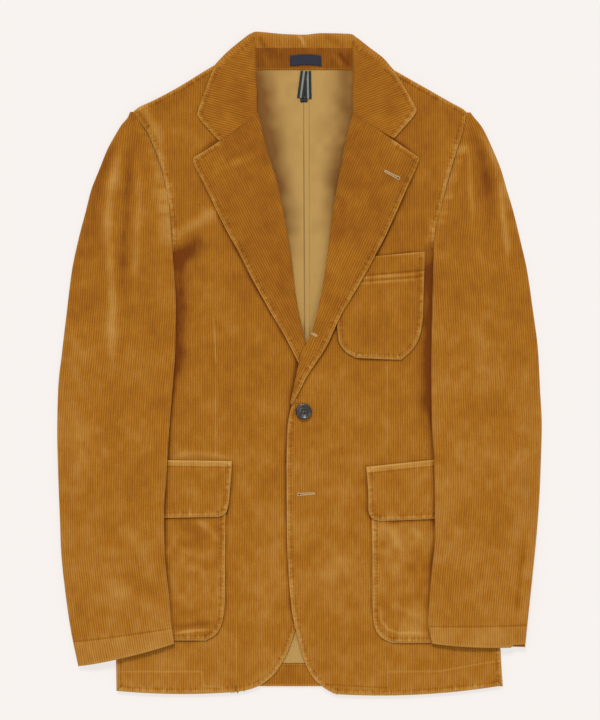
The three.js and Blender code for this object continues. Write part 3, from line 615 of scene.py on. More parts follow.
@dataclass
class Cloth:
    """A net of points in space with its grain map and tones, ready to become a mesh."""

    points: np.ndarray
    grain: np.ndarray
    tone: np.ndarray
    sewing: Optional[np.ndarray] = None
    witness: Optional[int] = None

    def mesh(self, name: str) -> bpy.types.Mesh:
        """Shapes a grid into the cloth.

        Args:
            name: The mesh's name.

        Returns:
            The mesh, its faces pointing away from the body side.
        """
        rows, columns = self.points.shape[:2]
        shape = bmesh.new()
        bmesh.ops.create_grid(shape, x_segments=columns - 1, y_segments=rows - 1, size=0.5)
        column = columns // 2 if self.witness is None else self.witness
        middle = self.points[rows // 2, column]
        right = self.points[rows // 2, min(columns - 1, column + 1)] - middle
        down = self.points[min(rows - 1, rows // 2 + 1), column] - middle
        if right[0] * down[1] - right[1] * down[0] < 0:
            bmesh.ops.reverse_faces(shape, faces=shape.faces)
        mesh = bpy.data.meshes.new(name)
        shape.to_mesh(mesh)
        shape.free()
        mesh.vertices.foreach_set("co", self.points.reshape(-1))
        corner = np.zeros(len(mesh.loops), int)
        mesh.loops.foreach_get("vertex_index", corner)
        layer = mesh.uv_layers.new(name="grain")
        layer.uv.foreach_set("vector", self.grain.reshape(-1, 2)[corner].reshape(-1))
        tones = mesh.attributes.new("tone", "FLOAT", "POINT")
        tones.data.foreach_set("value", self.tone.reshape(-1))
        sewing = np.full((rows, columns, 2), 1.0)
        if self.sewing is not None:
            width = self.sewing.shape[1]
            sewing[:, :width] = self.sewing
        layer = mesh.uv_layers.new(name="sewing")
        layer.uv.foreach_set("vector", sewing.reshape(-1, 2)[corner].reshape(-1))
        mesh.update()
        return mesh


def with_wall(obj: bpy.types.Object, wall: float) -> bpy.types.Object:
    """Gives a cloth its thickness, down from its face."""
    shell = obj.modifiers.new("wall", "SOLIDIFY")
    shell.thickness = wall
    shell.offset = -1.0
    return obj


def edge_line(net: np.ndarray, edge: Edge, first_share: float) -> np.ndarray:
    """Gives the points of one edge of a net, or of the outer share of its first edge."""
    first = net[0, :max(2, round(net.shape[1] * first_share))]
    lines = {Edge.OUTER: net[:, 0], Edge.INNER: net[:, -1], Edge.FIRST: first, Edge.LAST: net[-1]}
    return lines[edge]


def edge_distance(net: np.ndarray, edges: Sequence[Edge], first_share: float = 1.0) -> tuple[np.ndarray, np.ndarray]:
    """Measures how far each point of a net is from its finished edges.

    Args:
        net: The plan points.
        edges: The edges that count.
        first_share: The share of the first edge that counts, from the outer corner.

    Returns:
        The distance of each point, and how far along the edge its nearest point lies.
    """
    if not edges:
        return np.full(net.shape[:2], 1.0), np.zeros(net.shape[:2])
    samples, lengths = [], []
    for n, edge in enumerate(edges):
        line = edge_line(net, edge, first_share)
        runs = np.concatenate([[0], np.cumsum(np.hypot(*np.diff(line, axis=0).T))])
        at = np.arange(0, runs[-1], 0.6 * MM)
        samples.append(np.stack([np.interp(at, runs, line[:, k]) for k in (0, 1)], axis=1))
        lengths.append(at + 0.37 * n)
    points, along = np.concatenate(samples), np.concatenate(lengths)
    tree = KDTree(len(points))
    for n, (x, y) in enumerate(points.tolist()):
        tree.insert((x, y, 0), n)
    tree.balance()
    flat = net.reshape(-1, 2)
    nearest = [tree.find((x, y, 0)) for x, y in flat.tolist()]
    distance = np.array([found[2] for found in nearest]).reshape(net.shape[:2])
    return distance, along[[found[1] for found in nearest]].reshape(net.shape[:2])


def height_tone(y: np.ndarray) -> np.ndarray:
    """Tells how much paler the nap is lower on the garment, and how much darker near the shoulders."""
    return HEM_PALING - (HEM_PALING + SHOULDER_DARKENING) * smoothstep(y, -TONE_REACH, TONE_REACH)


def sewn_edge(distance: np.ndarray, along: np.ndarray, seed: int) -> tuple[np.ndarray, np.ndarray]:
    """Shapes the puckers and the stitch line along a topstitched edge.

    Args:
        distance: How far each point is from the edge.
        along: How far along the edge it is.
        seed: Picks the puckers.

    Returns:
        The relief and the tone that the sewing adds.
    """
    pucker = ripple(along + 0.35 * distance, along * 0, 3.3 * MM, seed)
    slow = ripple(along, along * 0, 21 * MM, seed + 1)
    seam = np.exp(-(((distance - 2.4 * MM) / (1.8 * MM)) ** 2))
    band = np.exp(-(((distance - 4.0 * MM) / (3.4 * MM)) ** 2))
    line = np.exp(-(((distance - STITCH_INSET) / (0.8 * MM)) ** 2))
    relief = 0.4 * MM * seam + 0.5 * MM * band * pucker - 0.45 * MM * line
    # The tone is paler along the edge band from wear, with painted light and shade on the puckers, and darker along the
    # stitch line.
    return relief, band * (0.08 + 0.17 * pucker + 0.2 * slow) + 0.12 * seam - 0.3 * line


@dataclass
class Panel:
    """One laid cloth: a table of stations from an outer to an inner edge, and how it is finished."""

    name: str
    rows: Table
    flat: tuple[float, float]
    area: Optional[float] = None
    grain: float = 0.0
    wall: float = CORDUROY_WALL
    spacing: float = 2.4
    sewn: tuple[Edge, ...] = ()
    folded: tuple[Edge, ...] = ()
    bands: tuple[Band, ...] = ()
    creases: tuple[Crease, ...] = ()
    first_bow: float = 0.0
    last_bow: float = 0.0
    drop: float = 1.0
    side_drop: float = 0.0
    rim_above: float = 9999.0
    rim_drop: float = 0.0
    swell: float = 0.35
    base_tone: float = 0.0
    mottle: float = 1.3
    first_share: float = 1.0
    smoothing: int = 14
    rests_on: tuple[str, ...] = ()
    seed: int = 1
    roll: float = 0.0
    roll_rise: float = 0.0
    slot: Slot = Slot.CORDUROY
    net: np.ndarray = field(init=False, repr=False)
    cloth: Cloth = field(init=False, repr=False)

    @property
    def finished(self) -> tuple[Edge, ...]:
        """All the edges that are turned in."""
        return self.sewn + self.folded

    def stations(self) -> tuple[np.ndarray, np.ndarray, np.ndarray]:
        """Spaces the stations evenly, closer at finished ends.

        Returns:
            The outer and the inner point of each station, and its distance from the first.
        """
        table = np.array(self.rows) * MM
        steps = np.abs(np.diff(table, axis=0))
        lengths = (np.hypot(steps[:, 0], steps[:, 1]) + np.hypot(steps[:, 2], steps[:, 3])) / 2
        course = np.concatenate([[0], np.cumsum(lengths)])
        first = EDGE_BANDS if Edge.FIRST in self.finished else PLAIN_BANDS
        last = EDGE_BANDS if Edge.LAST in self.finished else PLAIN_BANDS
        at = across_cloth(course[-1:], self.spacing * MM, first, last)[0]
        for band in self.bands:
            middle = band.depth * MM if band.edge is Edge.FIRST else course[-1] - band.depth * MM
            at = np.sort(np.concatenate([at, middle + np.array([-1.3, -0.6, 0.0, 0.6, 1.3]) * MM]))
        edges = smooth_course(table, np.interp(at, course, np.arange(len(table))))
        return edges[:, :2], edges[:, 2:], at

    def plan_net(self) -> np.ndarray:
        """Lays out the plan points of the cloth."""
        outer, inner, at = self.stations()
        width = np.hypot(*(inner - outer).T)
        first = EDGE_BANDS if Edge.OUTER in self.finished else PLAIN_BANDS
        last = EDGE_BANDS if Edge.INNER in self.finished else PLAIN_BANDS
        if self.roll:
            last = np.array([self.roll, self.roll + 1.5]) * MM
        away = across_cloth(width, self.spacing * MM, first, last)
        part = (away / width[:, None])[..., None]
        net = outer[:, None] + (inner - outer)[:, None] * part
        arch = 4 * part[..., 0] * (1 - part[..., 0])
        reach = 22 * MM
        bow = self.first_bow * np.exp(-((at / reach) ** 2)) + self.last_bow * np.exp(-(((at[-1] - at) / reach) ** 2))
        net[..., 1] -= bow[:, None] * MM * arch
        return net

    def shaped(self, heights: np.ndarray, net: np.ndarray) -> tuple[np.ndarray, np.ndarray]:
        """Adds edges, creases and swells to the heights.

        Args:
            heights: The bare heights.
            net: The plan points.

        Returns:
            The heights and the tones.
        """
        x, y = net[..., 0], net[..., 1]
        distance, along = edge_distance(net, self.finished, self.first_share)
        near = np.clip(1 - distance / (1.9 * MM), 0, 1)
        rim = smoothstep(y, (self.rim_above - 8) * MM, self.rim_above * MM)
        over = np.clip(1 - distance / (4.5 * MM), 0, 1)
        relief = -self.drop * MM * (1 - rim) * (1 - np.sqrt(1 - near**2))
        relief = relief - self.rim_drop * MM * rim * (1 - np.sqrt(1 - over**2))
        tone = 0.9 * np.exp(-((distance / (1.7 * MM)) ** 2)) * (1 - 0.6 * rim)
        tone = tone * (0.8 + 0.35 * ripple(along, along * 0, 18 * MM, self.seed * 11 + 4))
        if self.sewn:
            inside, course = edge_distance(net, self.sewn, self.first_share)
            pucker, wear_and_highlight = sewn_edge(inside, course, self.seed * 11)
            relief, tone = relief + pucker * (1 - rim), tone + wear_and_highlight * (1 - rim)
        if self.side_drop:
            side, _ = edge_distance(net, (Edge.OUTER,))
            over = np.clip(1 - side / (6 * MM), 0, 1)
            relief = relief - self.side_drop * MM * (1 - np.sqrt(1 - over**2))
        calm = smoothstep(distance, 0.0, 14 * MM)
        relief = relief + calm * MM * (self.swell * ripple(x, y, 38 * MM, self.seed)
                                       + 0.3 * self.swell * ripple(x, y, 13 * MM, self.seed + 5))
        tone = tone + self.base_tone + height_tone(y) * (self.slot is Slot.CORDUROY)
        tone = tone + self.mottle * (0.10 * ripple(x, y, 30 * MM, self.seed + 9)
                                     + 0.08 * ripple(x, y, 9 * MM, self.seed + 13))
        # Crease tones paint highlight along ridges and shade along troughs, and the shadows of cloths lying on this
        # one.
        for crease in self.creases:
            strength = crease.strength(x, y)
            relief = relief + crease.height * MM * strength
            tone = tone + crease.tone * strength
        for band in self.bands:
            distance, along = edge_distance(net, (band.edge,))
            beyond = distance - band.depth * MM
            line = np.exp(-((beyond / (0.8 * MM)) ** 2))
            wave = ripple(along, along * 0, 5 * MM, self.seed + 3)
            within = smoothstep(-beyond, 0.0, 1.2 * MM)
            relief = relief - band.groove * MM * line + band.raised * MM * within
            relief = relief + 0.25 * MM * wave * np.exp(-((beyond / (4 * MM)) ** 2))
            tone = tone - 0.3 * line + band.tone * within + 0.2 * wave * np.exp(-((beyond / (3.5 * MM)) ** 2))
        return heights + relief, tone

    def rolled(self, cloth: Cloth, inner: np.ndarray, outer: np.ndarray, solid: Surface) -> Cloth:
        """Turns the inner edge down over a soft roll.

        Args:
            cloth: The cloth up to the crown of its roll.
            inner: The edge points of the roll.
            outer: The points of the other edge.
            solid: The solid that gives the underside.

        Returns:
            The cloth with its roll.
        """
        way = outer - inner
        width = np.hypot(*way.T)[:, None]
        way = way / width
        depth = np.minimum(self.roll * MM, 0.4 * width)
        low = smoothed(filled(solid.heights(inner + way * 1.5 * MM, above=False)[:, None]), 10)
        high = cloth.points[:, -1:, 2]
        low = np.minimum(low, high - 2.5 * MM)
        angles = np.radians([72, 54, 36, 18, 0, -20, -45, -70])
        run = depth * (1 - np.cos(angles))
        plan = inner[:, None] + way[:, None] * run[..., None]
        height = (high + low) / 2 + (high - low) / 2 * np.sin(angles)
        extra = np.concatenate([plan, height[..., None]], axis=2)
        step = np.linalg.norm(np.diff(np.concatenate([cloth.points[:, -1:], extra], axis=1), axis=1), axis=2)
        turn = math.radians(self.grain)
        side = np.sign((inner - outer) @ np.array([math.cos(turn), -math.sin(turn)]))[:, None]
        across = cloth.grain[:, -1:, 0] + side * np.cumsum(step, axis=1) * abs(math.cos(turn))
        lengthways = np.repeat(cloth.grain[:, -1:, 1], across.shape[1], axis=1)
        if abs(math.cos(turn)) < 0.6:
            sign = np.sign((inner - outer) @ np.array([math.sin(turn), math.cos(turn)]))[:, None]
            lengthways = lengthways + sign * np.cumsum(step, axis=1)
        grain = np.stack([across, lengthways], axis=2)
        # The roll's edge is paler: wear, with a painted highlight on its curve.
        wear_and_highlight = 0.22 * np.exp(-((angles / 0.6) ** 2)) + 0 * across
        tone = cloth.tone[:, -1:] + wear_and_highlight * (0.7 + 0.5 * ripple(inner[:, 1:2], inner[:, 1:2] * 0, 9 * MM, self.seed))
        return Cloth(np.concatenate([cloth.points, extra], axis=1), np.concatenate([cloth.grain, grain], axis=1),
                     np.concatenate([cloth.tone, tone], axis=1), cloth.sewing)

    def grain_map(self, net: np.ndarray) -> np.ndarray:
        """Maps the net to real metres across and along the wales."""
        turn = math.radians(self.grain)
        x, y = net[..., 0], net[..., 1]
        return np.stack([x * math.cos(turn) - y * math.sin(turn), x * math.sin(turn) + y * math.cos(turn)], axis=2)

    def lay(self, node: str) -> Cloth:
        """Lays the cloth on the top of its node's solid.

        Args:
            node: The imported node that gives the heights.

        Returns:
            The shaped cloth.
        """
        solid = packed(node)
        self.net = self.plan_net()
        bare = smoothed(filled(solid.heights(self.net)), self.smoothing)
        if self.roll:
            outer, inner, _ = self.stations()
            away = np.linalg.norm(self.net - inner[:, None], axis=2)
            bare = bare + self.roll_rise * MM * np.exp(-((away / (16 * MM)) ** 2))
        heights, tone = self.shaped(bare, self.net)
        distance, along = edge_distance(self.net, self.sewn, self.first_share)
        self.cloth = Cloth(np.concatenate([self.net, heights[..., None]], axis=2), self.grain_map(self.net), tone,
                           np.stack([along, distance], axis=2) if self.sewn else None)
        if self.roll:
            self.cloth = self.rolled(self.cloth, inner, outer, solid)
        return self.cloth

    def piece(self, node: str, material: bpy.types.Material) -> bpy.types.Object:
        """Lays the cloth and makes it a declared piece.

        Args:
            node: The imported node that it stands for.
            material: Its finish.

        Returns:
            The piece.
        """
        name = f"{self.name}_cloth"
        obj = linked(name, self.lay(node).mesh(name), material)
        with_wall(obj, self.wall)
        declare(obj, node)
        return obj

    def stitch_path(self, edges: Sequence[Edge], inset: float = STITCH_INSET) -> np.ndarray:
        """Follows the sewn line inside some edges of the cloth.

        Args:
            edges: The edges, in the order in which the line runs.
            inset: The line's distance from them.

        Returns:
            The points of the line on the cloth.
        """
        rows, columns = self.net.shape[:2]
        step = int(np.argmin(np.abs(EDGE_BANDS - inset)))
        top = step if Edge.FIRST in edges else 0
        bottom = rows - 1 - (step if Edge.LAST in edges else 0)
        left = step if Edge.OUTER in edges else 0
        right = columns - 1 - (step if Edge.INNER in edges else 0)
        parts = {
            Edge.OUTER: self.cloth.points[top:bottom + 1, left],
            Edge.INNER: self.cloth.points[top:bottom + 1, right],
            Edge.FIRST: self.cloth.points[top, left:right + 1],
            Edge.LAST: self.cloth.points[bottom, left:right + 1],
        }
        line = parts[edges[0]]
        for edge in edges[1:]:
            more = parts[edge]
            ends = [(np.linalg.norm(a - b), turn_line, turn_more)
                    for a, turn_line in ((line[-1], False), (line[0], True))
                    for b, turn_more in ((more[0], False), (more[-1], True))]
            _, turn_line, turn_more = min(ends, key=lambda end: end[0])
            line = np.concatenate([line[::-1] if turn_line else line, more[::-1] if turn_more else more])
        return line


@dataclass
class Stitching:
    """Many small stitches of one thread, gathered into one mesh."""

    name: str
    colour: Colour = (176, 122, 52)
    places: list[np.ndarray] = field(default_factory=list)

    def add(self, place: np.ndarray, way: np.ndarray, length: float, radius: float) -> None:
        """Adds one stitch: its middle, its direction, its length and its half width."""
        way = way / np.linalg.norm(way)
        aside = np.cross([0, 0, 1.0], way)
        aside = aside / np.linalg.norm(aside)
        up = np.cross(way, aside)
        frame_of = np.stack([way * length / 2, aside * radius, up * radius * 0.8, place])
        self.places.append(frame_of)

    def run(self, line: np.ndarray, pitch: float = 3.4 * MM, length: float = 2.7 * MM,
            radius: float = 0.32 * MM, lift: float = 0.12 * MM) -> None:
        """Sews along a line on the cloth.

        Args:
            line: The points of the line.
            pitch: The distance from stitch to stitch.
            length: The length of a stitch.
            radius: Its half width.
            lift: How far it stands on the cloth.
        """
        runs = np.concatenate([[0], np.cumsum(np.linalg.norm(np.diff(line, axis=0), axis=1))])
        count = max(1, int(runs[-1] / pitch))
        at = (np.arange(count) + 0.5) * runs[-1] / count
        for middle in at:
            ends = [np.array([np.interp(middle + s * length / 2, runs, line[:, k]) for k in range(3)]) for s in (-1, 1)]
            way = ends[1] - ends[0]
            if np.hypot(way[0], way[1]) < 0.2 * length:
                continue
            self.add((ends[0] + ends[1]) / 2 + [0, 0, lift], way, length, radius)

    def piece(self) -> bpy.types.Object:
        """Makes all the stitches one piece."""
        bead = bmesh.new()
        bmesh.ops.create_icosphere(bead, subdivisions=1, radius=1.0)
        corners = np.array([tuple(v.co) for v in bead.verts])
        faces = np.array([[v.index for v in f.verts] for f in bead.faces])
        bead.free()
        frames = np.array(self.places)
        points = np.einsum("vk,nkd->nvd", corners, frames[:, :3]) + frames[:, 3:4]
        count = len(frames)
        index = faces[None] + np.arange(count)[:, None, None] * len(corners)
        mesh = bpy.data.meshes.new(self.name)
        mesh.from_pydata(points.reshape(-1, 3).tolist(), [], index.reshape(-1, 3).tolist())
        finish = ThreadFinish(self.name + "_thread", self.colour)
        obj = linked(self.name, mesh, finish.material())
        return declare(obj, None)


def backwards(rows: Sequence[Sequence[float]], inset: float, side: Side, top: float, bottom: float,
              overlap: float = 0.0) -> Table:
    """Turns a front's outer edge into the table of the back or lining under it.

    Args:
        rows: The front's table.
        inset: How far the cloth stays inside the front's outer edge.
        side: The wearer's side.
        top: The cloth's top.
        bottom: Its bottom.
        overlap: How far it laps over the seam towards the wearer's right.

    Returns:
        Its table, up to the centre back seam.
    """
    first, last = rows[0][1], rows[-1][1]
    rise = 0.0 if inset else first - top
    table = []
    for row in rows:
        t = (first - row[1]) / (first - last)
        y = top + (bottom - top) * t
        seam = CENTRE_TOP[0] + (CENTRE_HEM[0] - CENTRE_TOP[0]) * (CENTRE_TOP[1] - y) / (CENTRE_TOP[1] - CENTRE_HEM[1])
        table.append((row[0] - side.value * inset, y + rise * (1 - t), seam + side.value * 0.15 - overlap, y))
    return tuple(table)


CENTRE_TOP = (5.3, 345.4)
CENTRE_HEM = (11.2, -381.7)
FACING_TOP = -355.0

# The rows of the left front whose inner edge lies on the right front, and the rows of a sleeve below
# its armhole.
OVERLAP_ROWS = slice(13, 24)
HANGING_ROWS = slice(8, None)

FRONT_RIGHT: Table = (
    (-84, 361, -56, 350),
    (-110, 345.8, -55.5, 329),
    (-145.5, 324, -55, 312),
    (-174, 309, -54, 296),
    (-190, 301.5, -52, 287),
    (-196.5, 295, -50.5, 281),
    (-193, 290, -49, 275),
    (-179.5, 271.5, -43.5, 251),
    (-165, 235, -34, 221),
    (-158.5, 210.6, -29, 201),
    (-154.5, 187.5, -24.5, 183),
    (-151, 141.5, -17, 140),
    (-180, 114.5, -13, 110),
    (-186, 84, -8.5, 77),
    (-193, 27, 1.5, 27),
    (-197, -10, 6.5, -14),
    (-200, -43.5, 15.5, -43.5),
    (-209.5, -126, 15.5, -126),
    (-215.5, -221, 13.5, -218),
    (-217, -294, 1, -294),
    (-217, -327, -9, -328),
    (-216.7, -342, -14.3, -342.2),
    (-216.5, -353, -21.5, -355.2),
    (-216.4, -363, -30.4, -368.2),
    (-216.3, -370, -38.6, -375.2),
    (-216.2, -376, -49.4, -381.8),
    (-216.1, -382, -62, -386),
    (-216, -387, -74, -388.2),
)
FRONT_LEFT: Table = (
    (98, 353.5, 67, 349),
    (127.5, 336.5, 67, 329),
    (150.5, 323.5, 67, 312.5),
    (174, 310, 67, 296),
    (194.5, 298.5, 64.5, 284),
    (198, 294.5, 62.5, 277),
    (196.5, 288, 61, 270),
    (192, 270, 57, 251),
    (180.5, 233.5, 51, 221),
    (168.5, 187.5, 45, 183),
    (159.5, 141.5, 39, 140),
    (183.5, 114.5, 35, 110),
    (190.5, 84, 31.5, 77),
    (199, 29.5, 17.5, 32),
    (202.5, 1, 5.5, 6),
    (207, -46, -9, -48.5),
    (211, -75, -14, -75),
    (217.5, -126, -15.5, -126),
    (228.5, -221, -14.5, -215),
    (234, -294, -9.5, -289),
    (236.5, -327, -2, -324.5),
    (237.5, -341, 2, -340),
    (238, -352, 6.5, -354),
    (238.6, -361, 13.8, -368.2),
    (239, -367, 20.1, -376.4),
    (239.4, -371.5, 29.1, -383.5),
    (239.7, -376, 36.5, -388),
    (240, -380.5, 44, -390.9),
)
SLEEVE_RIGHT: Table = (
    (-200, 296.3, -195, 296.3),
    (-203, 289.5, -189.8, 288.5),
    (-209.5, 282, -184.3, 281),
    (-214, 275, -178.8, 272.5),
    (-227, 251.5, -169.5, 251.5),
    (-236.5, 228, -161.5, 228),
    (-246, 204, -155.8, 204),
    (-252, 180.5, -153.2, 180.5),
    (-262, 141.5, -150.5, 141.5),
    (-268.5, 110, -148, 110),
    (-274.5, 62.5, -145.5, 62.5),
    (-280, 15.5, -146.5, 12),
    (-285, -32, -149.5, -32),
    (-286, -79, -153.5, -79),
    (-285, -126, -156.5, -128.5),
    (-283, -179.5, -159.5, -180.5),
    (-281.5, -220.5, -158.5, -224),
    (-275.5, -277.5, -153.5, -276),
    (-269.5, -317.5, -151, -305.5),
    (-261, -358, -147.5, -331),
)
SLEEVE_LEFT: Table = (
    (202, 295.6, 197, 295.6),
    (207, 289, 195, 288),
    (213, 282, 192.6, 280.5),
    (217.5, 275, 190.8, 272.5),
    (228.5, 251.5, 184.2, 251.5),
    (238, 228, 177.8, 228),
    (245, 204, 171.3, 204),
    (252, 180.5, 165.8, 180.5),
    (261.5, 141.5, 158.5, 141.5),
    (268.5, 110, 157.5, 110),
    (275.5, 62.5, 156.5, 62.5),
    (281.5, 15.5, 155.5, 12),
    (284, -32, 155.5, -32),
    (286, -73, 156, -73),
    (285, -112, 158.5, -112),
    (283, -159.5, 159.5, -159.5),
    (279, -209, 159.5, -202),
    (274.5, -253.5, 155, -253.5),
    (269.5, -301, 151.5, -303.5),
    (266, -335, 156, -331),
)
LAPEL_RIGHT: Table = (
    (-125, 242.3, -49.5, 296.5),
    (-125.3, 237, -48, 291.5),
    (-110.5, 206.5, -39.5, 256),
    (-87, 158, -25, 207.5),
    (-71.5, 130, -16.5, 166.5),
    (-56, 99, -10.5, 131),
    (-35, 61.5, -3, 72),
    (-16.5, 29.5, 4, 38),
    (-1, -1, 9.5, 12),
    (4.5, -12, 11, -9.5),
)
LAPEL_LEFT: Table = (
    (141, 242.3, 63, 296.5),
    (141.2, 238, 62, 291.5),
    (126.5, 205.5, 55.5, 268),
    (107, 161.5, 46.5, 221),
    (88.5, 125, 38, 170),
    (62, 78, 31.5, 119),
    (48, 54.5, 27, 89.5),
    (32, 20, 14.5, 37),
    (8, -17.5, 2, 10.5),
    (-3, -39, -6, -23.5),
    (-9, -49, -11, -47),
)
COLLAR_RIGHT: Table = (
    (-94, 260.5, -50, 295.5),
    (-118.5, 288.5, -50, 312),
    (-120.5, 293.5, -50, 315.5),
    (-111, 322, -50.5, 334),
    (-99, 350.5, -51, 355),
    (-82.5, 363, -51, 369),
    (-68, 375.5, -51.5, 377),
    (-57, 384, -51.5, 383.5),
)
COLLAR_LEFT: Table = (
    (111.5, 264.5, 63, 295.5),
    (136, 293, 62.5, 312),
    (138, 298, 62.5, 315.5),
    (125.5, 322, 62.5, 329),
    (114.5, 339.5, 62.5, 345.5),
    (97, 355.5, 62, 360),
    (80, 368.5, 62, 369.5),
    (66.5, 380, 61.5, 379),
)
CHEST_POCKET: Table = (
    (43.5, 122, 148, 131.5),
    (43.5, 86, 147, 92),
    (44, 48.5, 145.5, 53),
    (46, 27, 141.5, 30.5),
    (53.5, 14, 133, 15.5),
    (66.5, 6, 120, 3.5),
)
POCKET_RIGHT: Table = (
    (-199, -131, -86, -131),
    (-199.5, -209, -87.5, -209),
    (-199.5, -279.5, -88, -279.5),
    (-197.5, -305.5, -91, -305.5),
    (-192, -320, -98.5, -320),
    (-181, -327.5, -110.5, -327.5),
)
POCKET_LEFT: Table = (
    (201, -138, 84, -138),
    (202.5, -209, 85.5, -209),
    (202.5, -286.5, 86, -286.5),
    (200, -310.5, 89, -312.5),
    (192, -324.5, 98.5, -325.5),
    (179, -330, 110.5, -330.5),
)
FLAP_RIGHT: Table = (
    (-203.5, -114, -79.5, -115.5),
    (-203.5, -122.5, -80, -123.5),
    (-203, -144, -81.5, -146.5),
    (-202.5, -166.5, -84, -168.5),
    (-199.5, -177, -87.5, -178),
    (-190.5, -183.5, -95, -181.5),
)
FLAP_LEFT: Table = (
    (206, -109, 78.5, -122.5),
    (206.5, -118, 79.5, -130),
    (207.5, -140.5, 80.5, -151),
    (208.5, -168.5, 81, -173.5),
    (206, -178, 85, -183),
    (196.5, -182.5, 94, -186.5),
)
# The collar folds over this edge of the outline: the fold, the end of its leg on top and the
# free edge of the fall underneath.
COLLAR_FOLD = (
    (-99.5, 352.5, -96, 347.5, -93, 342),
    (-94, 358.5, -91, 352, -88, 345),
    (-85.5, 367, -80.5, 361, -76, 339),
    (-70, 380, -66, 373.5, -61, 331),
    (-58.5, 388.5, -56, 381, -53, 326.5),
    (-50, 391.2, -50, 369.5, -46, 324.5),
    (-16, 388.2, -16, 369.5, -15, 320),
    (5.5, 387.6, 5.5, 369.5, 5.5, 318.5),
    (26.5, 389.4, 26.5, 369.5, 25, 320),
    (60, 388.5, 60, 369.5, 56, 325),
    (68, 384, 65, 377, 66, 327.5),
    (82, 373, 78.5, 367, 80, 331),
    (99.5, 359.5, 95.5, 353.5, 94, 336),
    (109, 348.5, 105.5, 343, 102, 338.5),
    (115, 342, 111, 337.5, 107, 334),
)

# The tones of these creases are painted light and shade: paler along ridges, darker along troughs, hollows and shadowed
# gaps.
COLLAR_CREASES = (
    Crease(((-2, 388), (3, 382), (6, 374)), 4.5, 0, 0.9),
    Crease(((-48, 386), (-44, 378), (-40, 371)), 7, 0, -0.7),
    Crease(((30, 386), (44, 378), (54, 371)), 9, 0, -0.35),
)
FRONT_CREASES = {
    Side.RIGHT: (
        Crease(((-152, 138), (-141, 152), (-128, 163), (-110, 172), (-90, 184)), 19, 1.7, 0.62),
        Crease(((-156, 120), (-143, 124), (-130, 132), (-112, 148)), 26, -1.0, -0.85),
        Crease(((-145, 135), (-141, 105), (-140, 60), (-141, 5), (-145, -30)), 17, -0.8, -0.8),
        Crease(((-193, 309), (-180, 296), (-170, 276), (-163, 256)), 14, 0.7, 0.45),
        Crease(((-168, 262), (-160, 232), (-154.5, 205), (-152, 176)), 11, 0.5, 0.45),
        Crease(((3, 36), (-2, 12), (-6, -25), (-10, -55)), 7, -0.4, -1.2),
        Crease(((-74.9, -232.5), (-44.2, -267.9), (-23, -291.5)), 34, 0.8, 0.15),
        Crease(((-150.4, -110.9), (-123.3, -106.2), (-102.1, -108.6), (-79.6, -113.3)), 8, 0.8, 0.4),
    ),
    Side.LEFT: (
        Crease(((154, 174.6), (158.7, 149.9), (151.6, 135.7)), 12, 1.0, 0.4),
        Crease(((158, 140), (155, 90), (153, 15.3), (150, -43.7), (150, -80)), 20, -0.9, -1.2),
        Crease(((186, 262), (176, 230), (168, 195), (163, 168)), 11, 0.4, 0.35),
        Crease(((12.4, -232.5), (36, -250.2), (59.6, -232.5)), 26, 0.7, 0.15),
    ),
}
FRONT_SEAMS = {
    Side.RIGHT: (
        SeamLine((-101.3, 53.1), (-98.5, 0), 0.75, 1.0, 0.3),
        SeamLine((-98.5, 0), (-99.1, -109.7), 0.3, 1.2, 0.15),
        SeamLine((-74.6, -305.6), (-74.6, -383.5), 0.22, 1.3, 0.15),
        SeamLine((-215.3, -364), (-115, -364), 0.3, 1.6, 0.1),
        SeamLine((-115, -364), (-113.9, -381.1), 0.3, 1.6, 0.1),
        SeamLine((-113.9, -380), (-87.9, -383.5), 0.25, 1.6, 0.1),
    ),
    Side.LEFT: (
        SeamLine((103.2, -3.5), (103.2, -113.3), 0.22, 1.3, 0.15),
        SeamLine((104.4, -350.5), (104.4, -385.9), 0.22, 1.3, 0.15),
        SeamLine((104.4, -364.3), (165.8, -363.4), 0.25, 1.8, 0.1),
        SeamLine((165.8, -363.4), (237.8, -350.5), 0.3, 1.8, 0.1),
        SeamLine((22, -379), (104.4, -383.5), -0.3, 1.3, 0.25),
    ),
}
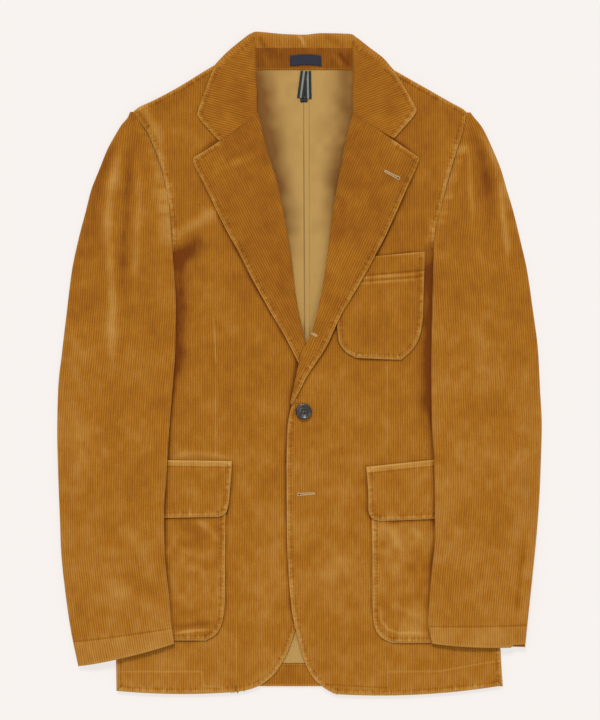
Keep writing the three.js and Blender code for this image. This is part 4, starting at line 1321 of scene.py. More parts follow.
SLEEVE_CREASES = {
    Side.RIGHT: (
        Crease(((-207.1, 270.2), (-215.3, 236), (-223.6, 198.2), (-227.1, 156.9), (-223.6, 119.2),
                (-220.1, 74.3), (-221.2, 27.1), (-222, -10)), 15, 1.5, 0.62),
        Crease(((-190.6, 251.3), (-189.4, 192.3), (-191.8, 133.3), (-196.5, 74.3)), 12, 0.9, 0.4),
        Crease(((-220.1, 263.1), (-233, 227.7), (-241.3, 186.4), (-246, 145.1)), 14, -0.7, -0.35),
        Crease(((-199, 255), (-203, 200), (-207, 145), (-209, 90)), 12, -0.8, -0.4),
        Crease(((-174, 215.9), (-164.6, 174.6), (-158.7, 133.3)), 12, 0.5, 0.3),
        Crease(((-211.8, -185.3), (-188.2, -214.8), (-164.6, -267.9)), 22, 0.9, 0.25),
        Crease(((-223.6, -267.9), (-194.1, -279.7), (-158.7, -297.4)), 20, 0.8, 0.25),
        Crease(((-262, 40), (-266, -60), (-258, -180)), 30, 0.8, 0.15),
    ),
    Side.LEFT: (
        Crease(((204.7, 282), (221.2, 259.6), (231.9, 233.6), (237.8, 204.1), (240.1, 174.6),
                (244.8, 139.2), (246, 110)), 9, 1.3, 0.62),
        Crease(((194.1, 271.4), (200, 239.5), (202.4, 198.2), (204.7, 162.8)), 8, 0.9, 0.5),
        Crease(((206, 268), (215, 245), (222, 204.1), (225, 156.9)), 16, -0.8, -0.4),
        Crease(((222, 130), (218, 40), (214, -50)), 26, 0.7, 0.15),
        Crease(((262, 40), (266, -60), (258, -200)), 30, 0.8, 0.15),
        Crease(((176, -190), (196, -220), (204, -262)), 20, 0.6, 0.15),
        Crease(((266, -205), (260, -250), (255, -300)), 7, -0.5, -0.45),
        Crease(((278, -205), (273, -250), (268, -300), (264, -318)), 6, 0.3, 0.5),
    ),
}
LAPEL_CREASES = {
    Side.RIGHT: (
        Crease(((-110.3, 219.5), (-84.4, 232.5), (-60.8, 241.9), (-44.2, 249)), 13, 0.9, 0.4),
        Crease(((-103.2, 232.5), (-87.9, 241.9)), 9, 0.5, 0.25),
    ),
    Side.LEFT: (Crease(((45.4, 204.1), (61.9, 190), (76.1, 180.5)), 13, 0.7, 0.3),),
}
POCKET_CREASES = {
    Side.RIGHT: (
        Crease(((-124.5, -184.1), (-108, -194.7), (-89.1, -215.9)), 11, 0.9, 0.4),
        Crease(((-143.4, -218.3), (-117.4, -227.7), (-98.5, -223)), 11, 0.6, 0.25),
        Crease(((-135.1, -239.5), (-111.5, -246.6), (-93.8, -241.9)), 11, 0.6, 0.2),
        Crease(((-147, -318.6), (-123.3, -315.5), (-104, -314.5)), 3.5, 0.6, 0.9),
        Crease(((-147, -312), (-120, -308), (-100, -306)), 7, -0.4, -0.4),
    ),
    Side.LEFT: (
        Crease(((98.5, -188.8), (113.9, -206.5), (120.9, -223)), 11, 0.8, 0.35),
        Crease(((130.4, -194.7), (148.1, -208.9)), 10, 0.6, 0.25),
        Crease(((100.9, -284.4), (124.5, -291.5), (148.1, -305.6)), 11, 0.7, 0.3),
        Crease(((94.5, -287), (96, -303), (104, -314), (116, -318.5), (150, -319)), 3, 0.4, 0.6),
    ),
}
# Painted shadows on the lining: dark tone beside the lapels and the collar, and a lighter one low in the neck opening.
LINING_SHADES = {
    Side.RIGHT: (
        Crease(((-58, 420), (-46, 298.5), (-28, 204.1), (-14, 121.5)), 46, 0.0, -1.05),
        Crease(((5, 50), (5, -10)), 18, 0.0, -0.25),
    ),
    Side.LEFT: (
        Crease(((62, 400), (59.6, 310.3), (50.1, 227.7), (36, 145.1)), 44, 0.0, -0.95),
        Crease(((5, 50), (5, -10)), 18, 0.0, -0.25),
    ),
}


@dataclass
class Body:
    """The back, its turned-up hem and the lining over it."""

    spacing: float = 5.0

    def build(self) -> None:
        """Builds the back's cloths."""
        corduroy = CorduroyFinish("back_corduroy").material()
        seams = (
            SeamLine((4.8, 344), (7.0, -354), -0.55, 0.8, 0.3),
            SeamLine((11.2, 344), (13.4, -354), -0.35, 0.7, 0.3),
        )
        lining = LiningFinish(seams=seams).material()
        for side, front, areas in ((Side.RIGHT, FRONT_RIGHT, (0.1457, 0.1277)),
                                   (Side.LEFT, FRONT_LEFT, (0.1407, 0.124))):
            name = side.name.lower()
            Panel(f"back_{name}", backwards(front, 0.0, side, CENTRE_TOP[1], CENTRE_HEM[1]), (0.245, 0.745),
                  areas[0], spacing=self.spacing, folded=(Edge.OUTER, Edge.LAST), first_bow=10.0, swell=0.0,
                  seed=20 + side.value).piece(f"back_{name}", corduroy)
            lap = 1.6 * (side is Side.LEFT)
            felled = Crease(((6.2, 380), (13.2, -390)), 9, 0.75 * (side is Side.LEFT), 0.25)
            Panel(f"lining_{name}", backwards(front, 16.0, side, CENTRE_TOP[1], FACING_TOP + 0.35, lap),
                  (0.229, 0.702), areas[1], wall=LINING_WALL, spacing=4.0, drop=0.4,
                  creases=(*LINING_SHADES[side], felled), swell=0.12,
                  rests_on=(f"back_{name}",), seed=30 + side.value, slot=Slot.LINING).piece(f"lining_{name}", lining)
        rows = ((-200, FACING_TOP, 222, FACING_TOP), (-200, -381.1, 222, -381.1))
        Panel("back_hem_facing", rows, (0.422, 0.027), 0.011, spacing=3.0, folded=(Edge.LAST,),
              bands=(Band(Edge.FIRST, 3.0, 0.1, 0.3),), swell=0.1, base_tone=-0.3,
              rests_on=("back_right", "back_left"), seed=41).piece("back_hem_facing", corduroy)


@dataclass
class Neck:
    """The collar's inner band, the bare label on it and the ribbon loop under it."""

    stripe_half_width: float = 1.1

    def build(self) -> None:
        """Builds the neck's pieces."""
        corduroy = CorduroyFinish("band_corduroy").material()
        rows = ((-53, 372, 65, 372), (-53, 345.8, 65, 345.8))
        # The band's folds carry painted highlight on their ridges and painted shade in their troughs.
        folds = (
            Crease(((38, 366), (44, 358), (50, 349)), 6, 0.5, 0.3),
            Crease(((46, 367), (53, 358), (59, 350)), 6, -0.4, -0.5),
            Crease(((-44, 365), (-38, 355), (-36, 348)), 7, 0.3, 0.2),
        )
        Panel("collar_band", rows, (0.111, 0.0235), 0.00256, spacing=1.6, folded=(Edge.LAST,), drop=0.7,
              creases=folds, swell=0.15, base_tone=-0.42, smoothing=4, rests_on=("lining_right", "lining_left"),
              seed=51).piece("collar_band", corduroy)
        label = Panel("neck_label", ((-11, 362.5, 25.5, 362.5), (-11, 350, 26, 350)), (0.037, 0.0135), 0.00046,
                      wall=0.7 * MM, spacing=0.8, folded=tuple(Edge), first_bow=-1.0, last_bow=-1.0, drop=0.4,
                      swell=0.1, smoothing=4, rests_on=("collar_band",), seed=52, slot=Slot.LABEL)
        label.piece("neck_label", TapeFinish("navy_label", (14, 18, 40)).material())
        thread = Stitching("label_stitching", (44, 50, 84))
        for edge in Edge:
            thread.run(label.stitch_path((edge,), 1.1 * MM), 1.7 * MM, 1.2 * MM, 0.16 * MM, 0.05 * MM)
        thread.piece()
        self.ribbon()

    def ribbon(self) -> None:
        """Builds the hanger loop: two legs and the folded tip between their ends."""
        finish = TapeFinish("navy_ribbon", (10, 22, 28), stripe_half_width=self.stripe_half_width)
        material = finish.material()
        top = packed("hanger_loop").heights(np.array([[5.5 * MM, 335 * MM]]))[0]
        legs = (
            ((9.5, 344.5), (10.2, 311.5), 4.1, 0.0, True),
            ((5.2, 307.6), (5.2, 312.5), 4.2, -0.3, False),
            ((5.5, 344.5), (1.2, 312.4), 4.1, 0.35, True),
        )
        parts = []
        for n, (start, end, half, lift, striped) in enumerate(legs):
            start, end = (np.array(p) * MM for p in (start, end))
            length = np.hypot(*(end - start))
            way = (end - start) / length
            aside = np.array([-way[1], way[0]])
            along = np.linspace(0, length, max(3, int(length / (1.2 * MM))))
            across = np.linspace(-half, half, 11) * MM
            plan = start + along[:, None, None] * way + across[None, :, None] * aside
            arch = 0.35 * MM * np.sin(np.pi * np.clip(along / length, 0, 1))[:, None]
            height = top + lift * MM + arch - 0.25 * MM * (across / (half * MM))[None] ** 4
            points = np.concatenate([plan, (height + 0 * plan[..., 0])[..., None]], axis=2)
            shift = 0.0 if striped else 9 * MM
            grain = np.stack(np.broadcast_arrays(across[None] + shift, along[:, None]), axis=2)
            name = "hanger_loop_ribbon" if n == 0 else f"ribbon_part_{n}"
            parts.append(linked(name, Cloth(points, grain, 0 * plan[..., 0]).mesh(name), material))
        loop = joined_pieces(parts)
        with_wall(loop, 0.6 * MM)
        declare(loop, "hanger_loop")


def joined_pieces(parts: Sequence[bpy.types.Object]) -> bpy.types.Object:
    """Joins objects into the first of them."""
    with bpy.context.temp_override(active_object=parts[0], selected_editable_objects=list(parts),
                                   selected_objects=list(parts)):
        bpy.ops.object.join()
    return parts[0]


def shaded_under(rows: Table, edges: Sequence[Edge], width: float = 6.5, tone: float = -0.75) -> tuple[Crease, ...]:
    """Gives creases of painted shadow, dark tone with no height, along the edges of a cloth that lies on another."""
    lines = {
        Edge.OUTER: tuple(row[:2] for row in rows),
        Edge.INNER: tuple(row[2:] for row in rows),
        Edge.FIRST: (rows[0][:2], rows[0][2:]),
        Edge.LAST: (rows[-1][:2], rows[-1][2:]),
    }
    return tuple(Crease(lines[edge], width, 0.0, tone) for edge in edges)


@dataclass
class Front:
    """One front with its pocket, flap and lapel."""

    side: Side
    front: Table
    lapel: Table
    pocket: Table
    flap: Table
    sleeve: Table
    front_flat: tuple[float, float, float]
    lapel_flat: tuple[float, float, float]
    pocket_flat: tuple[float, float, float]
    flap_flat: tuple[float, float, float]
    lapel_grain: float
    lapel_bow: float
    hem_bow: float
    roll: float = 4.0
    stitched_above: float = -382.0
    seed: int = 60

    def build(self, corduroy: bpy.types.Material) -> None:
        """Builds the front's cloths and their topstitching.

        Args:
            corduroy: The finish of its small pieces.
        """
        side = self.side.name.lower()
        seed = self.seed + 40 * (self.side is Side.LEFT)
        body = CorduroyFinish(f"front_{side}_corduroy", seams=FRONT_SEAMS[self.side]).material()
        round_patch = (Edge.INNER, Edge.LAST)
        # Painted shadows on this front: dark tone along the edges of the lapel, the pocket, the flap, the chest pocket
        # and the overlapping left front that lie on it, and along the hanging sleeve's inner edge, a shadow that the
        # pocket and the flap also get.
        under = shaded_under(self.lapel, (Edge.OUTER, Edge.FIRST)) + shaded_under(self.pocket, round_patch, 5, -0.5)
        beside = shaded_under(self.sleeve[HANGING_ROWS], (Edge.INNER,), 7.0, -0.8)
        under += shaded_under(self.flap, round_patch) + beside
        if self.side is Side.LEFT:
            under += shaded_under(CHEST_POCKET, (Edge.FIRST, Edge.OUTER, Edge.INNER, Edge.LAST), 5, -0.5)
        else:
            under += shaded_under(FRONT_LEFT[OVERLAP_ROWS], (Edge.INNER,), 6.0, -1.1)
        front = Panel(f"front_{side}", self.front, self.front_flat[:2], self.front_flat[2],
                      sewn=(Edge.INNER, Edge.LAST, Edge.OUTER), creases=FRONT_CREASES[self.side] + under,
                      last_bow=self.hem_bow, side_drop=1.6, swell=0.5, rests_on=(f"lining_{side}",), seed=seed)
        front.piece(f"front_{side}", body)
        stitched = [(front, (Edge.INNER,))]
        if self.side is Side.LEFT:
            chest = Panel("chest_pocket", CHEST_POCKET, (0.105, 0.128), 0.0119, spacing=2.0,
                          sewn=(Edge.OUTER, Edge.INNER, Edge.LAST), folded=(Edge.FIRST,),
                          bands=(Band(Edge.FIRST, 22.0, 0.05, 0.5, 0.3), Band(Edge.FIRST, 29.0, 0.0, 0.3)),
                          creases=(Crease(((44, 98.5), (147, 105.5)), 4, 0.4, 0.7),
                                   Crease(((44, 92), (147, 99)), 4, 0.3, 0.55)),
                          swell=0.4, rests_on=("front_left",), seed=seed + 1)
            chest.piece("chest_pocket", corduroy)
            stitched.append((chest, (Edge.OUTER, Edge.LAST, Edge.INNER)))
        pocket = Panel(f"lower_pocket_{side}", self.pocket, self.pocket_flat[:2], self.pocket_flat[2], spacing=2.0,
                       sewn=(Edge.OUTER, Edge.INNER, Edge.LAST), swell=0.45,
                       creases=POCKET_CREASES[self.side] + shaded_under(self.flap, (Edge.LAST,)) + beside,
                       mottle=2.6,
                       rests_on=(f"front_{side}",), seed=seed + 2)
        pocket.piece(f"lower_pocket_{side}", corduroy)
        flap = Panel(f"pocket_flap_{side}", self.flap, self.flap_flat[:2], self.flap_flat[2], spacing=2.0,
                     sewn=(Edge.OUTER, Edge.INNER, Edge.LAST), folded=(Edge.FIRST,),
                     bands=(Band(Edge.FIRST, 7.7, 0.5, 0.5, 0.2),), swell=0.35, creases=beside,
                     rests_on=(f"lower_pocket_{side}",), seed=seed + 3)
        flap.piece(f"pocket_flap_{side}", corduroy)
        lapel = Panel(f"lapel_{side}", self.lapel, self.lapel_flat[:2], self.lapel_flat[2], grain=self.lapel_grain,
                      wall=DOUBLE_WALL, spacing=2.0, sewn=(Edge.OUTER, Edge.FIRST), creases=LAPEL_CREASES[self.side],
                      first_bow=self.lapel_bow, drop=0.7, swell=0.4, rests_on=(f"front_{side}",), seed=seed + 4,
                      roll=self.roll, roll_rise=1.3, first_share=0.46, base_tone=-0.1)
        lapel.piece(f"lapel_{side}", corduroy)
        stitched += [(pocket, (Edge.OUTER, Edge.LAST, Edge.INNER)), (flap, (Edge.OUTER, Edge.LAST, Edge.INNER)),
                     (lapel, (Edge.OUTER,))]
        thread = Stitching(f"front_{side}_stitching")
        for panel, edges in stitched:
            line = panel.stitch_path(edges)
            thread.run(line[line[:, 1] > self.stitched_above * MM])
        notch = lapel.stitch_path((Edge.FIRST, Edge.OUTER))
        thread.run(notch[:round(0.42 * len(notch[notch[:, 1] > 241 * MM]))])
        thread.piece()


@dataclass
class Buttonhole:
    """A worked buttonhole: its eyelet, its other end and whether it has an eyelet."""

    name: str
    eyelet: Plan
    end: Plan
    on: str
    keyhole: bool = True
    half_width: float = 1.75

    def build(self) -> None:
        """Works the buttonhole into its cloth."""
        ground = Surface(bpy.data.objects[self.on].data)
        start, end = np.array(self.eyelet) * MM, np.array(self.end) * MM
        length = np.hypot(*(end - start))
        way = (end - start) / length
        aside = np.array([-way[1], way[0]])
        half = self.half_width * MM
        thread = Stitching(self.name + "_thread", (204, 168, 120))
        # Dark beads stand for the shadow inside the buttonhole's cut and, with a keyhole, inside its eyelet hole:
        # painted shadow.
        hole_shade = Stitching(self.name + "_slit", (58, 34, 16))
        outline = self.outline(length, half * 0.62)
        runs = np.concatenate([[0], np.cumsum(np.hypot(*np.diff(outline, axis=0).T))])
        for at in np.arange(0.3 * MM, runs[-1], 0.62 * MM):
            here, ahead = (np.array([np.interp(at + d, runs, outline[:, k]) for k in (0, 1)]) for d in (0, 0.3 * MM))
            course = (ahead - here) / max(1e-9, np.hypot(*(ahead - here)))
            plan = start + here[0] * way + here[1] * aside
            out = -course[1] * way + course[0] * aside
            z = ground.heights(plan[None])[0]
            thread.add(np.array([*plan, z + 0.3 * MM]), np.array([*out, 0.0]), 2.3 * MM, 0.42 * MM)
        middle = (start + end) / 2
        z = ground.heights(middle[None])[0]
        hole_shade.add(np.array([*middle, z + 0.3 * MM]), np.array([*way, 0.0]), 0.85 * length, 0.14 * MM)
        if self.keyhole:
            z = ground.heights(start[None])[0]
            hole_shade.add(np.array([*start, z + 0.25 * MM]), np.array([*way, 0.0]), 2.3 * MM, 1.0 * MM)
        thread.piece()
        hole_shade.piece()

    def outline(self, length: float, half: float) -> np.ndarray:
        """Draws the outline along which the thread turns, from the eyelet at the origin."""
        bulge = 1.6 * MM if self.keyhole else half
        turn = np.radians(np.linspace(40, 320, 13))
        eye = np.stack([bulge * np.cos(turn), bulge * np.sin(turn)], axis=1)
        tip = np.radians(np.linspace(-90, 90, 7))
        far = np.stack([length - half + half * np.cos(tip), half * 0.75 * np.sin(tip)], axis=1)
        return np.concatenate([eye, far, eye[:1]])


@dataclass
class Button:
    """The four-hole horn button that fastens the front."""

    centre: Plan = (5.0, -57.3)
    radius: float = 9.5
    height: float = 3.4
    hole_radius: float = 0.9
    hole_offset: float = 1.7

    def build(self) -> None:
        """Builds the button and the thread through it."""
        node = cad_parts["front_button"].data
        base = min(v.co.z for v in node.vertices)
        profile = ((0, 0), (0.6, 0), (0.86, 0.14), (0.97, 0.34), (1, 0.56), (0.985, 0.76), (0.94, 0.92), (0.87, 1),
                   (0.79, 0.99), (0.72, 0.93), (0.64, 0.8), (0.57, 0.67), (0.48, 0.6), (0.3, 0.575), (0, 0.57))
        shape = bmesh.new()
        line = [shape.verts.new((self.centre[0] * MM + r * self.radius * MM, self.centre[1] * MM,
                                 base + h * self.height * MM)) for r, h in profile]
        edges = [shape.edges.new(pair) for pair in zip(line, line[1:])]
        middle = (self.centre[0] * MM, self.centre[1] * MM, 0)
        bmesh.ops.spin(shape, geom=[*line, *edges], cent=middle, axis=(0, 0, 1), angle=2 * math.pi, steps=72,
                       use_merge=True)
        bmesh.ops.remove_doubles(shape, verts=shape.verts, dist=1e-6)
        bmesh.ops.recalc_face_normals(shape, faces=shape.faces)
        mesh = bpy.data.meshes.new("front_button_horn")
        shape.to_mesh(mesh)
        shape.free()
        button = linked("front_button_horn", mesh, HornFinish().material())
        holes = [(sx * self.hole_offset, sy * self.hole_offset) for sx in (-1, 1) for sy in (-1, 1)]
        for x, y in holes:
            self.drill(button, (self.centre[0] + x) * MM, (self.centre[1] + y) * MM, base)
        mesh.polygons.foreach_set("use_smooth", [True] * len(mesh.polygons))
        declare(button, "front_button")
        thread = Stitching("button_thread", (120, 84, 44))
        z = base + (0.57 * self.height + 0.15) * MM
        for x in (-self.hole_offset, self.hole_offset):
            for shift in (-0.28, 0.28):
                place = np.array([(self.centre[0] + x + shift) * MM, self.centre[1] * MM, z])
                thread.add(place, np.array([0.04 * shift, 1.0, 0.0]), 4.2 * MM, 0.34 * MM)
        thread.piece()

    def drill(self, button: bpy.types.Object, x: float, y: float, base: float) -> None:
        """Cuts one round hole through the button."""
        shape = bmesh.new()
        bmesh.ops.create_cone(shape, cap_ends=True, segments=20, radius1=self.hole_radius * MM,
                              radius2=self.hole_radius * MM, depth=4 * self.height * MM)
        bmesh.ops.translate(shape, verts=shape.verts, vec=(x, y, base))
        mesh = bpy.data.meshes.new("drill")
        shape.to_mesh(mesh)
        shape.free()
        cutter = bpy.data.objects.new("drill", mesh)
        bpy.context.scene.collection.objects.link(cutter)
        cut = button.modifiers.new("hole", "BOOLEAN")
        cut.operation = "DIFFERENCE"
        cut.solver = "EXACT"
        cut.object = cutter
        with bpy.context.temp_override(object=button, active_object=button):
            bpy.ops.object.modifier_apply(modifier="hole")
        bpy.data.objects.remove(cutter)


@dataclass
class Sleeve:
    """A flattened sleeve: one top cloth folded round both edges and the under cloth between its legs."""

    side: Side
    rows: Table
    flat: tuple[float, float, float]
    under_flat: tuple[float, float, float]
    spacing: float = 2.4
    fold: float = 5.0
    cap_fold: float = 13.0
    cap_from: float = 118.0
    cap_to: float = 190.0
    leg: float = 16.0
    cuff: float = 24.0
    hem_bow: float = 2.5
    vent: float = 0.0
    least_height: float = 3.4
    seed: int = 140
    turn: np.ndarray = field(default_factory=lambda: np.radians([-90, -68, -46, -23, 0, 18, 36, 54, 72]))

    def build(self, corduroy: bpy.types.Material) -> None:
        """Builds both cloths and the cuff's stitches.

        Args:
            corduroy: Their finish.
        """
        side = self.side.name.lower()
        cloth, cuff = self.top_cloth()
        name = f"top_sleeve_{side}"
        top = linked(f"{name}_cloth", cloth.mesh(name), corduroy)
        with_wall(top, CORDUROY_WALL)
        declare(top, name)
        rows = []
        for row in self.rows:
            outer, inner = np.array(row[:2]), np.array(row[2:])
            width = np.hypot(*(inner - outer))
            share = min(self.leg + 0.5, 0.4 * width) / width
            rows.append((*(outer + (inner - outer) * share), *(inner + (outer - inner) * share)))
        Panel(f"under_sleeve_{side}", tuple(rows), self.under_flat[:2], self.under_flat[2], spacing=5.0,
              last_bow=1.2, swell=0.0, drop=0.3, rests_on=(f"front_{side}",),
              seed=self.seed + 7).piece(f"under_sleeve_{side}", corduroy)
        thread = Stitching(f"sleeve_{side}_stitching")
        thread.run(cuff)
        thread.piece()

    def top_cloth(self) -> tuple[Cloth, np.ndarray]:
        """Shapes the top cloth.

        Returns:
            The cloth and the line on which the cuff's hem is sewn.
        """
        side = self.side.name.lower()
        seed = self.seed + 40 * (self.side is Side.LEFT)
        plan = Panel(f"sleeve_{side}_plan", self.rows, (1, 1), folded=(Edge.LAST,), spacing=self.spacing,
                     bands=(Band(Edge.LAST, self.cuff),), last_bow=self.hem_bow)
        outer, inner, course = plan.stations()
        width = np.hypot(*(inner - outer).T)
        inward = (inner - outer) / width[:, None]
        cap = smoothstep(inner[:, 1], self.cap_from * MM, self.cap_to * MM)
        depth_out = np.minimum(self.fold * MM, 0.4 * width)
        depth_in = np.minimum((self.fold + (self.cap_fold - self.fold) * cap) * MM, 0.4 * width)
        leg = np.minimum(self.leg * MM, 0.45 * width)
        span = width - depth_out - depth_in
        count = max(2, math.ceil(span.max() / (self.spacing * MM)))
        part = np.linspace(0, 1, count + 1)[1:-1]
        away = depth_out[:, None] + span[:, None] * part
        net = outer[:, None] + inward[:, None] * away[..., None]
        arch = 4 * (away / width[:, None]) * (1 - away / width[:, None])
        net[..., 1] -= self.hem_bow * MM * arch * np.exp(-(((course[-1] - course) / (22 * MM)) ** 2))[:, None]
        top, both = packed(f"top_sleeve_{side}"), packed(f"top_sleeve_{side}", f"under_sleeve_{side}")
        bare = smoothed(filled(top.heights(net)), 16)
        x, y = net[..., 0], net[..., 1]
        relief = 0.55 * MM * ripple(x, y, 40 * MM, seed) + 0.16 * MM * ripple(x, y, 13 * MM, seed + 5)
        tone = height_tone(y) + 0.14 * ripple(x, y, 30 * MM, seed + 9) + 0.1 * ripple(x, y, 9 * MM, seed + 13)
        # Crease tones paint highlight along the sleeve's ridges and shade along its troughs.
        for crease in SLEEVE_CREASES[self.side]:
            strength = crease.strength(x, y)
            relief = relief + crease.height * MM * strength
            tone = tone + crease.tone * strength
        high = bare + relief
        lows = []
        for edge, sign, depth in ((outer, 1, depth_out), (inner, -1, depth_in)):
            at = edge + sign * inward * np.minimum(depth + 1 * MM, 0.45 * width)[:, None]
            lows.append(smoothed(filled(both.heights(at, above=False)[:, None]), 12)[:, 0])
        fading = 0.7 + 0.5 * ripple(course, 0 * course, 14 * MM, seed + 21)
        ending = smoothstep(course[-1] - course, 0, 9 * MM)
        # The folded edges are paler on their upper curve: wear, with a painted highlight.
        wear_and_highlight = 0.35 * np.exp(-(((self.turn - 0.35) / 0.6) ** 2)) * fading[:, None]
        wear_and_highlight = np.concatenate([np.zeros((len(course), 2)), wear_and_highlight * ending[:, None]], axis=1)
        blocks = [self.folded_edge(*item, leg) for item in (
            (outer, inward, depth_out, lows[0], high[:, 0], 0.5 + 0 * cap),
            (inner, -inward, depth_in, lows[1], high[:, -1], 0.5 - 0.22 * cap))]
        body = np.concatenate([net, high[..., None]], axis=2)
        points = np.concatenate([blocks[0], body, blocks[1][:, ::-1]], axis=1)
        tone = np.concatenate([wear_and_highlight + tone[:, :1], tone, wear_and_highlight[:, ::-1] + tone[:, -1:]], axis=1)
        beyond = (course[-1] - course)[:, None] - self.cuff * MM
        wave = ripple(points[..., 0], 0 * points[..., 0], 5 * MM, seed + 3)
        within = smoothstep(-beyond, 0.0, 1.2 * MM)
        line = np.exp(-((beyond / (0.8 * MM)) ** 2))
        upper = np.zeros(points.shape[:2])
        upper[:, 8:-8] = 1
        points[..., 2] += upper * (-0.5 * MM * line + 0.25 * MM * wave * np.exp(-((beyond / (4 * MM)) ** 2)))
        if self.vent:
            stepped = smoothstep(points[..., 0], (self.vent - 1.5) * MM, (self.vent + 1.5) * MM)
            points[..., 1] += upper * 3.2 * MM * stepped * np.exp(-((course[-1] - course) / (6 * MM))[:, None])
        end = np.clip(1 - (course[-1] - course) / (2.2 * MM), 0, 1)[:, None]
        points[..., 2] -= upper * 0.9 * MM * (1 - np.sqrt(1 - end**2))
        edge_tone = 0.5 * np.exp(-(((course[-1] - course) / (2 * MM)) ** 2))[:, None]
        ribbed = 0.2 * wave * np.exp(-((beyond / (3.5 * MM)) ** 2))
        tone = tone + upper * (0.17 * within - 0.3 * line + edge_tone + ribbed)
        # A painted highlight, puckered, on the ridge along the armhole seam.
        from_outer = np.concatenate([0 * blocks[0][..., 0], away,
                                     0 * blocks[1][..., 0] + width[:, None] - 2 * MM], axis=1)
        seam = np.exp(-(((width[:, None] - from_outer) / (4 * MM)) ** 2))
        pucker = ripple(course, 0 * course, 5 * MM, seed + 31)[:, None]
        tone = tone + cap[:, None] * seam * (0.25 + 0.35 * pucker)
        points[..., 2] += upper * cap[:, None] * seam * 0.4 * MM * pucker
        step = np.linalg.norm(np.diff(points, axis=1), axis=2)
        across = np.concatenate([np.zeros((len(step), 1)), np.cumsum(step, axis=1)], axis=1)
        middle = points.shape[1] // 2
        across = across - across[:, middle:middle + 1]
        grain = np.stack(np.broadcast_arrays(across, course[:, None]), axis=2)
        sewn = int(np.argmin(np.abs(course - (course[-1] - self.cuff * MM))))
        return Cloth(points, grain, tone), points[sewn, 10:-10]

    def folded_edge(self, edge: np.ndarray, inward: np.ndarray, depth: np.ndarray, low: np.ndarray, high: np.ndarray,
                    share: np.ndarray, leg: np.ndarray) -> np.ndarray:
        """Shapes one folded edge, from its flat leg underneath up to the top of the cloth.

        Args:
            edge: The edge's plan points.
            inward: The way into the sleeve at each of them.
            depth: How deep the upper half of the fold is.
            low: The height of the leg.
            high: The height of the cloth inside the fold.
            share: How far up the widest point of the fold lies, as a share.
            leg: How far the leg reaches in.

        Returns:
            The points, station by station.
        """
        high = np.maximum(high, low + self.least_height * MM)
        middle = low + share * (high - low)
        upper = self.turn[None] > 0
        under = np.minimum(depth, self.fold * MM)
        rise = np.where(upper, (high - middle)[:, None], (middle - low)[:, None])
        run = np.where(upper, depth[:, None], under[:, None]) * (1 - np.cos(self.turn))
        arc = edge[:, None] + inward[:, None] * run[..., None]
        legs = np.stack([edge + inward * (under + (leg - under) * t)[:, None] for t in (1.0, 0.5)], axis=1)
        heights = np.concatenate([np.repeat(low[:, None], 2, 1), middle[:, None] + rise * np.sin(self.turn)], axis=1)
        return np.concatenate([np.concatenate([legs, arc], axis=1), heights[..., None]], axis=2)


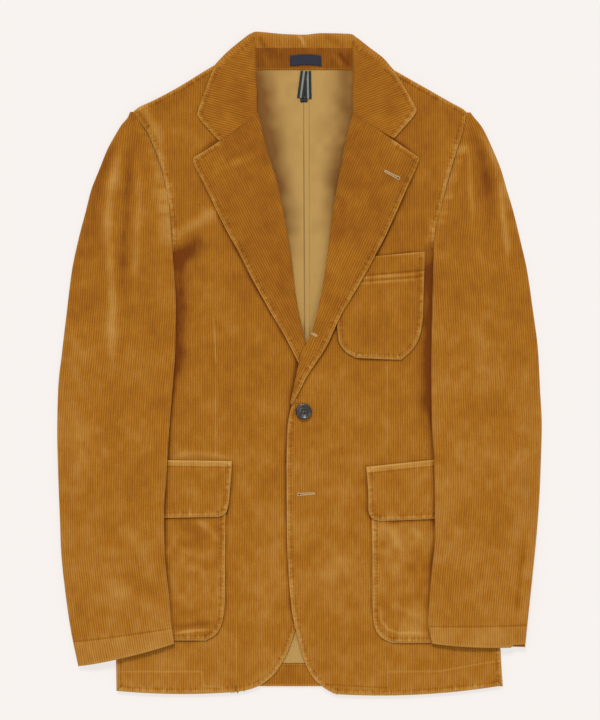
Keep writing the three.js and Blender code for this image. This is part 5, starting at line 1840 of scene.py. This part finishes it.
@dataclass
class Collar:
    """The collar: two rolled ends on the fronts and the back part folded under the neck."""

    fold: float = 4.0
    crest: float = 6.6
    band_side: float = 5.4
    band_ends: tuple[Plan, Plan] = ((-62, -50), (60, 70))

    def build(self, corduroy: bpy.types.Material) -> None:
        """Builds the collar as one piece, with its topstitching.

        Args:
            corduroy: Its finish.
        """
        thread = Stitching("collar_stitching")
        parts = []
        for side, rows, grain in ((Side.RIGHT, COLLAR_RIGHT, 104.5), (Side.LEFT, COLLAR_LEFT, 68.3)):
            end = Panel(f"collar_{side.name.lower()}_end", rows, (1, 1), grain=grain, wall=DOUBLE_WALL, spacing=2.0,
                        sewn=(Edge.OUTER,), swell=0.4, seed=200 + side.value, roll=4.0, roll_rise=0.8, drop=0.6,
                        first_bow=1.3,
                        rim_above=352, rim_drop=3.2)
            parts.append(linked(end.name, end.lay("collar").mesh(end.name), corduroy))
            line = end.stitch_path((Edge.OUTER,))
            thread.run(line[line[:, 1] < 350 * MM])
        back = self.back_part()
        collar = linked("collar_cloth", back.mesh("collar_cloth"), corduroy)
        joined_pieces([collar, *parts])
        with_wall(collar, DOUBLE_WALL)
        declare(collar, "collar")
        thread.piece()

    def back_part(self) -> Cloth:
        """Shapes the part that folds under the neck."""
        table = np.array(COLLAR_FOLD) * MM
        steps = np.hypot(*np.diff(table[:, :2], axis=0).T)
        course = np.concatenate([[0], np.cumsum(steps)])
        at = np.linspace(0, course[-1], int(course[-1] / (1.8 * MM)))
        rows = smooth_course(table, np.interp(at, course, np.arange(len(table))))
        edge, top, under = rows[:, :2], rows[:, 2:4], rows[:, 4:]
        (far_right, right), (left, far_left) = np.array(self.band_ends) * MM
        inner = smoothstep(top[:, 0], far_right, right) * (1 - smoothstep(top[:, 0], left, far_left))
        surface = packed("collar")
        outside = smoothed(filled(surface.heights(top)[:, None]), 6)[:, 0] - 1.2 * MM
        top_height = inner * self.band_side * MM + (1 - inner) * outside
        crest = inner * self.crest * MM + (1 - inner) * (outside - 0.4 * MM)
        crest = np.maximum(crest, 4.4 * MM)
        to_top, to_under = top - edge, under - edge
        reach_top, reach_under = np.hypot(*to_top.T), np.hypot(*to_under.T)
        to_top, to_under = to_top / reach_top[:, None], to_under / reach_under[:, None]
        angles = np.radians([-90, -68, -45, -22, 0, 22, 45, 68, 90])
        run = self.fold * MM * (1 - np.cos(angles))
        way = np.where(angles[None, :, None] < 0, to_under[:, None], to_top[:, None])
        arc = edge[:, None] + way * run[None, :, None]
        arc_height = crest[:, None] / 2 * (1 + np.sin(angles))
        legs = np.array([1.0, 0.75, 0.5, 0.25])
        depth = self.fold * MM
        below = edge[:, None] + to_under[:, None] * (depth + (reach_under - depth)[:, None] * legs)[..., None]
        share = np.linspace(0, 1, 10)[1:]
        above = edge[:, None] + to_top[:, None] * (depth + (reach_top - depth)[:, None] * share)[..., None]
        swell = 0.45 * MM * ripple(above[..., 0], above[..., 1], 17 * MM, 211) * inner[:, None] * np.sin(np.pi * share)
        above_height = crest[:, None] + (top_height - crest)[:, None] * share**1.5 + swell
        seam = np.exp(-(((above[..., 1] - 370.5 * MM) / (1.2 * MM)) ** 2)) * inner[:, None]
        above_height = above_height + 0.35 * MM * seam
        plan = np.concatenate([below, arc, above], axis=1)
        height = np.concatenate([0 * below[..., 0], arc_height, above_height], axis=1)
        x, y = plan[..., 0], plan[..., 1]
        tone = 0.1 * ripple(x, y, 12 * MM, 212)
        # The fold and the raised seam by the band are paler: wear, with a painted highlight on their crests.
        pale = np.concatenate([0 * below[..., 0], 0.2 + 0 * arc_height,
                               0.25 * np.exp(-share / 0.35) + 0.7 * seam], axis=1)
        tone = tone + pale * (0.8 + 0.4 * ripple(x, 0 * x, 14 * MM, 213))
        # The collar creases paint highlight and shade, with no height.
        for crease in COLLAR_CREASES:
            tone = tone + crease.tone * crease.strength(x, y)
        points = np.concatenate([plan, height[..., None]], axis=2)
        step = np.linalg.norm(np.diff(points, axis=1), axis=2)
        along = np.concatenate([np.zeros((len(step), 1)), np.cumsum(step, axis=1)], axis=1)
        grain = np.stack(np.broadcast_arrays(edge[:, :1], along), axis=2)
        return Cloth(points, grain, tone, witness=plan.shape[1] - 4)


@dataclass
class Studio:
    """The pale floor, the soft light and the camera straight above."""

    camera_at: Plan = (0.59, 3.54)
    lens: float = 200.0
    sensor: float = 36.0
    picture_height: float = 849.6
    focus_height: float = 5.0
    world: float = 0.55
    floor_reach: float = 3.0
    floor_at: float = -0.5

    def build(self) -> None:
        """Sets the stage."""
        scene = bpy.context.scene
        shape = bmesh.new()
        bmesh.ops.create_grid(shape, x_segments=1, y_segments=1, size=self.floor_reach)
        bmesh.ops.translate(shape, verts=shape.verts, vec=(0, 0, self.floor_at * MM))
        mesh = bpy.data.meshes.new("floor")
        shape.to_mesh(mesh)
        shape.free()
        floor = linked("floor", mesh, FloorFinish().material())
        world = bpy.data.worlds.new("soft_light")
        world.use_nodes = True
        world.node_tree.nodes["Background"].inputs["Color"].default_value = (1.0, 0.99, 0.97, 1)
        world.node_tree.nodes["Background"].inputs["Strength"].default_value = self.world
        scene.world = world
        suns = (("key", (50, 100), 1.7, 16), ("fill", (62, -40), 0.45, 30))
        for name, (elevation, azimuth), strength, softness in suns:
            lamp = bpy.data.lights.new(name, "SUN")
            lamp.energy = strength
            lamp.angle = math.radians(softness)
            light = bpy.data.objects.new(name, lamp)
            up, round_ = math.radians(elevation), math.radians(azimuth)
            source = Vector((math.cos(up) * math.cos(round_), math.cos(up) * math.sin(round_), math.sin(up)))
            light.rotation_euler = source.to_track_quat("Z", "Y").to_euler()
            scene.collection.objects.link(light)
        view = bpy.data.cameras.new("overhead")
        view.lens, view.sensor_width, view.sensor_fit = self.lens, self.sensor, "VERTICAL"
        view.sensor_height = self.sensor
        view.clip_end = 20.0
        camera = bpy.data.objects.new("overhead", view)
        distance = self.picture_height * MM * self.lens / self.sensor
        camera.location = (self.camera_at[0] * MM, self.camera_at[1] * MM, distance + self.focus_height * MM)
        scene.collection.objects.link(camera)
        scene.camera = camera
        scene.view_settings.view_transform = "Standard"


def main() -> None:
    """Builds the garment and its stage."""
    logging.basicConfig(level=logging.INFO, format="%(name)s %(message)s")
    corduroy = CorduroyFinish("tan_corduroy").material()
    Body().build()
    Neck().build()
    Front(Side.RIGHT, FRONT_RIGHT, LAPEL_RIGHT, POCKET_RIGHT, FLAP_RIGHT, SLEEVE_RIGHT, (0.234, 0.752, 0.1348),
          (0.098, 0.33, 0.0157), (0.113, 0.197, 0.0216), (0.124, 0.071, 0.0081), -26.8, 2.8, 3.0).build(corduroy)
    Front(Side.LEFT, FRONT_LEFT, LAPEL_LEFT, POCKET_LEFT, FLAP_LEFT, SLEEVE_LEFT, (0.256, 0.75, 0.137),
          (0.1, 0.345, 0.0161), (0.118, 0.193, 0.022), (0.13, 0.076, 0.0087), 23.5, 0.6, 5.5).build(corduroy)
    Button().build()
    Sleeve(Side.RIGHT, SLEEVE_RIGHT, (0.168, 0.65, 0.0866), (0.105, 0.64, 0.0557)).build(corduroy)
    Sleeve(Side.LEFT, SLEEVE_LEFT, (0.16, 0.63, 0.08), (0.1, 0.625, 0.0514), vent=251.0).build(corduroy)
    Collar().build(corduroy)
    for hole in (
            Buttonhole("lower_buttonhole", (-0.6, -155.1), (17.8, -154), "front_left_cloth"),
            Buttonhole("lapel_buttonhole", (116.5, 217.9), (100.3, 226.6), "lapel_left_cloth"),
            Buttonhole("top_buttonhole", (19.5, 32.2), (12.3, 35.9), "lapel_left_cloth", keyhole=False)):
        hole.build()
    Studio().build()


if __name__ == "__main__":
    main()
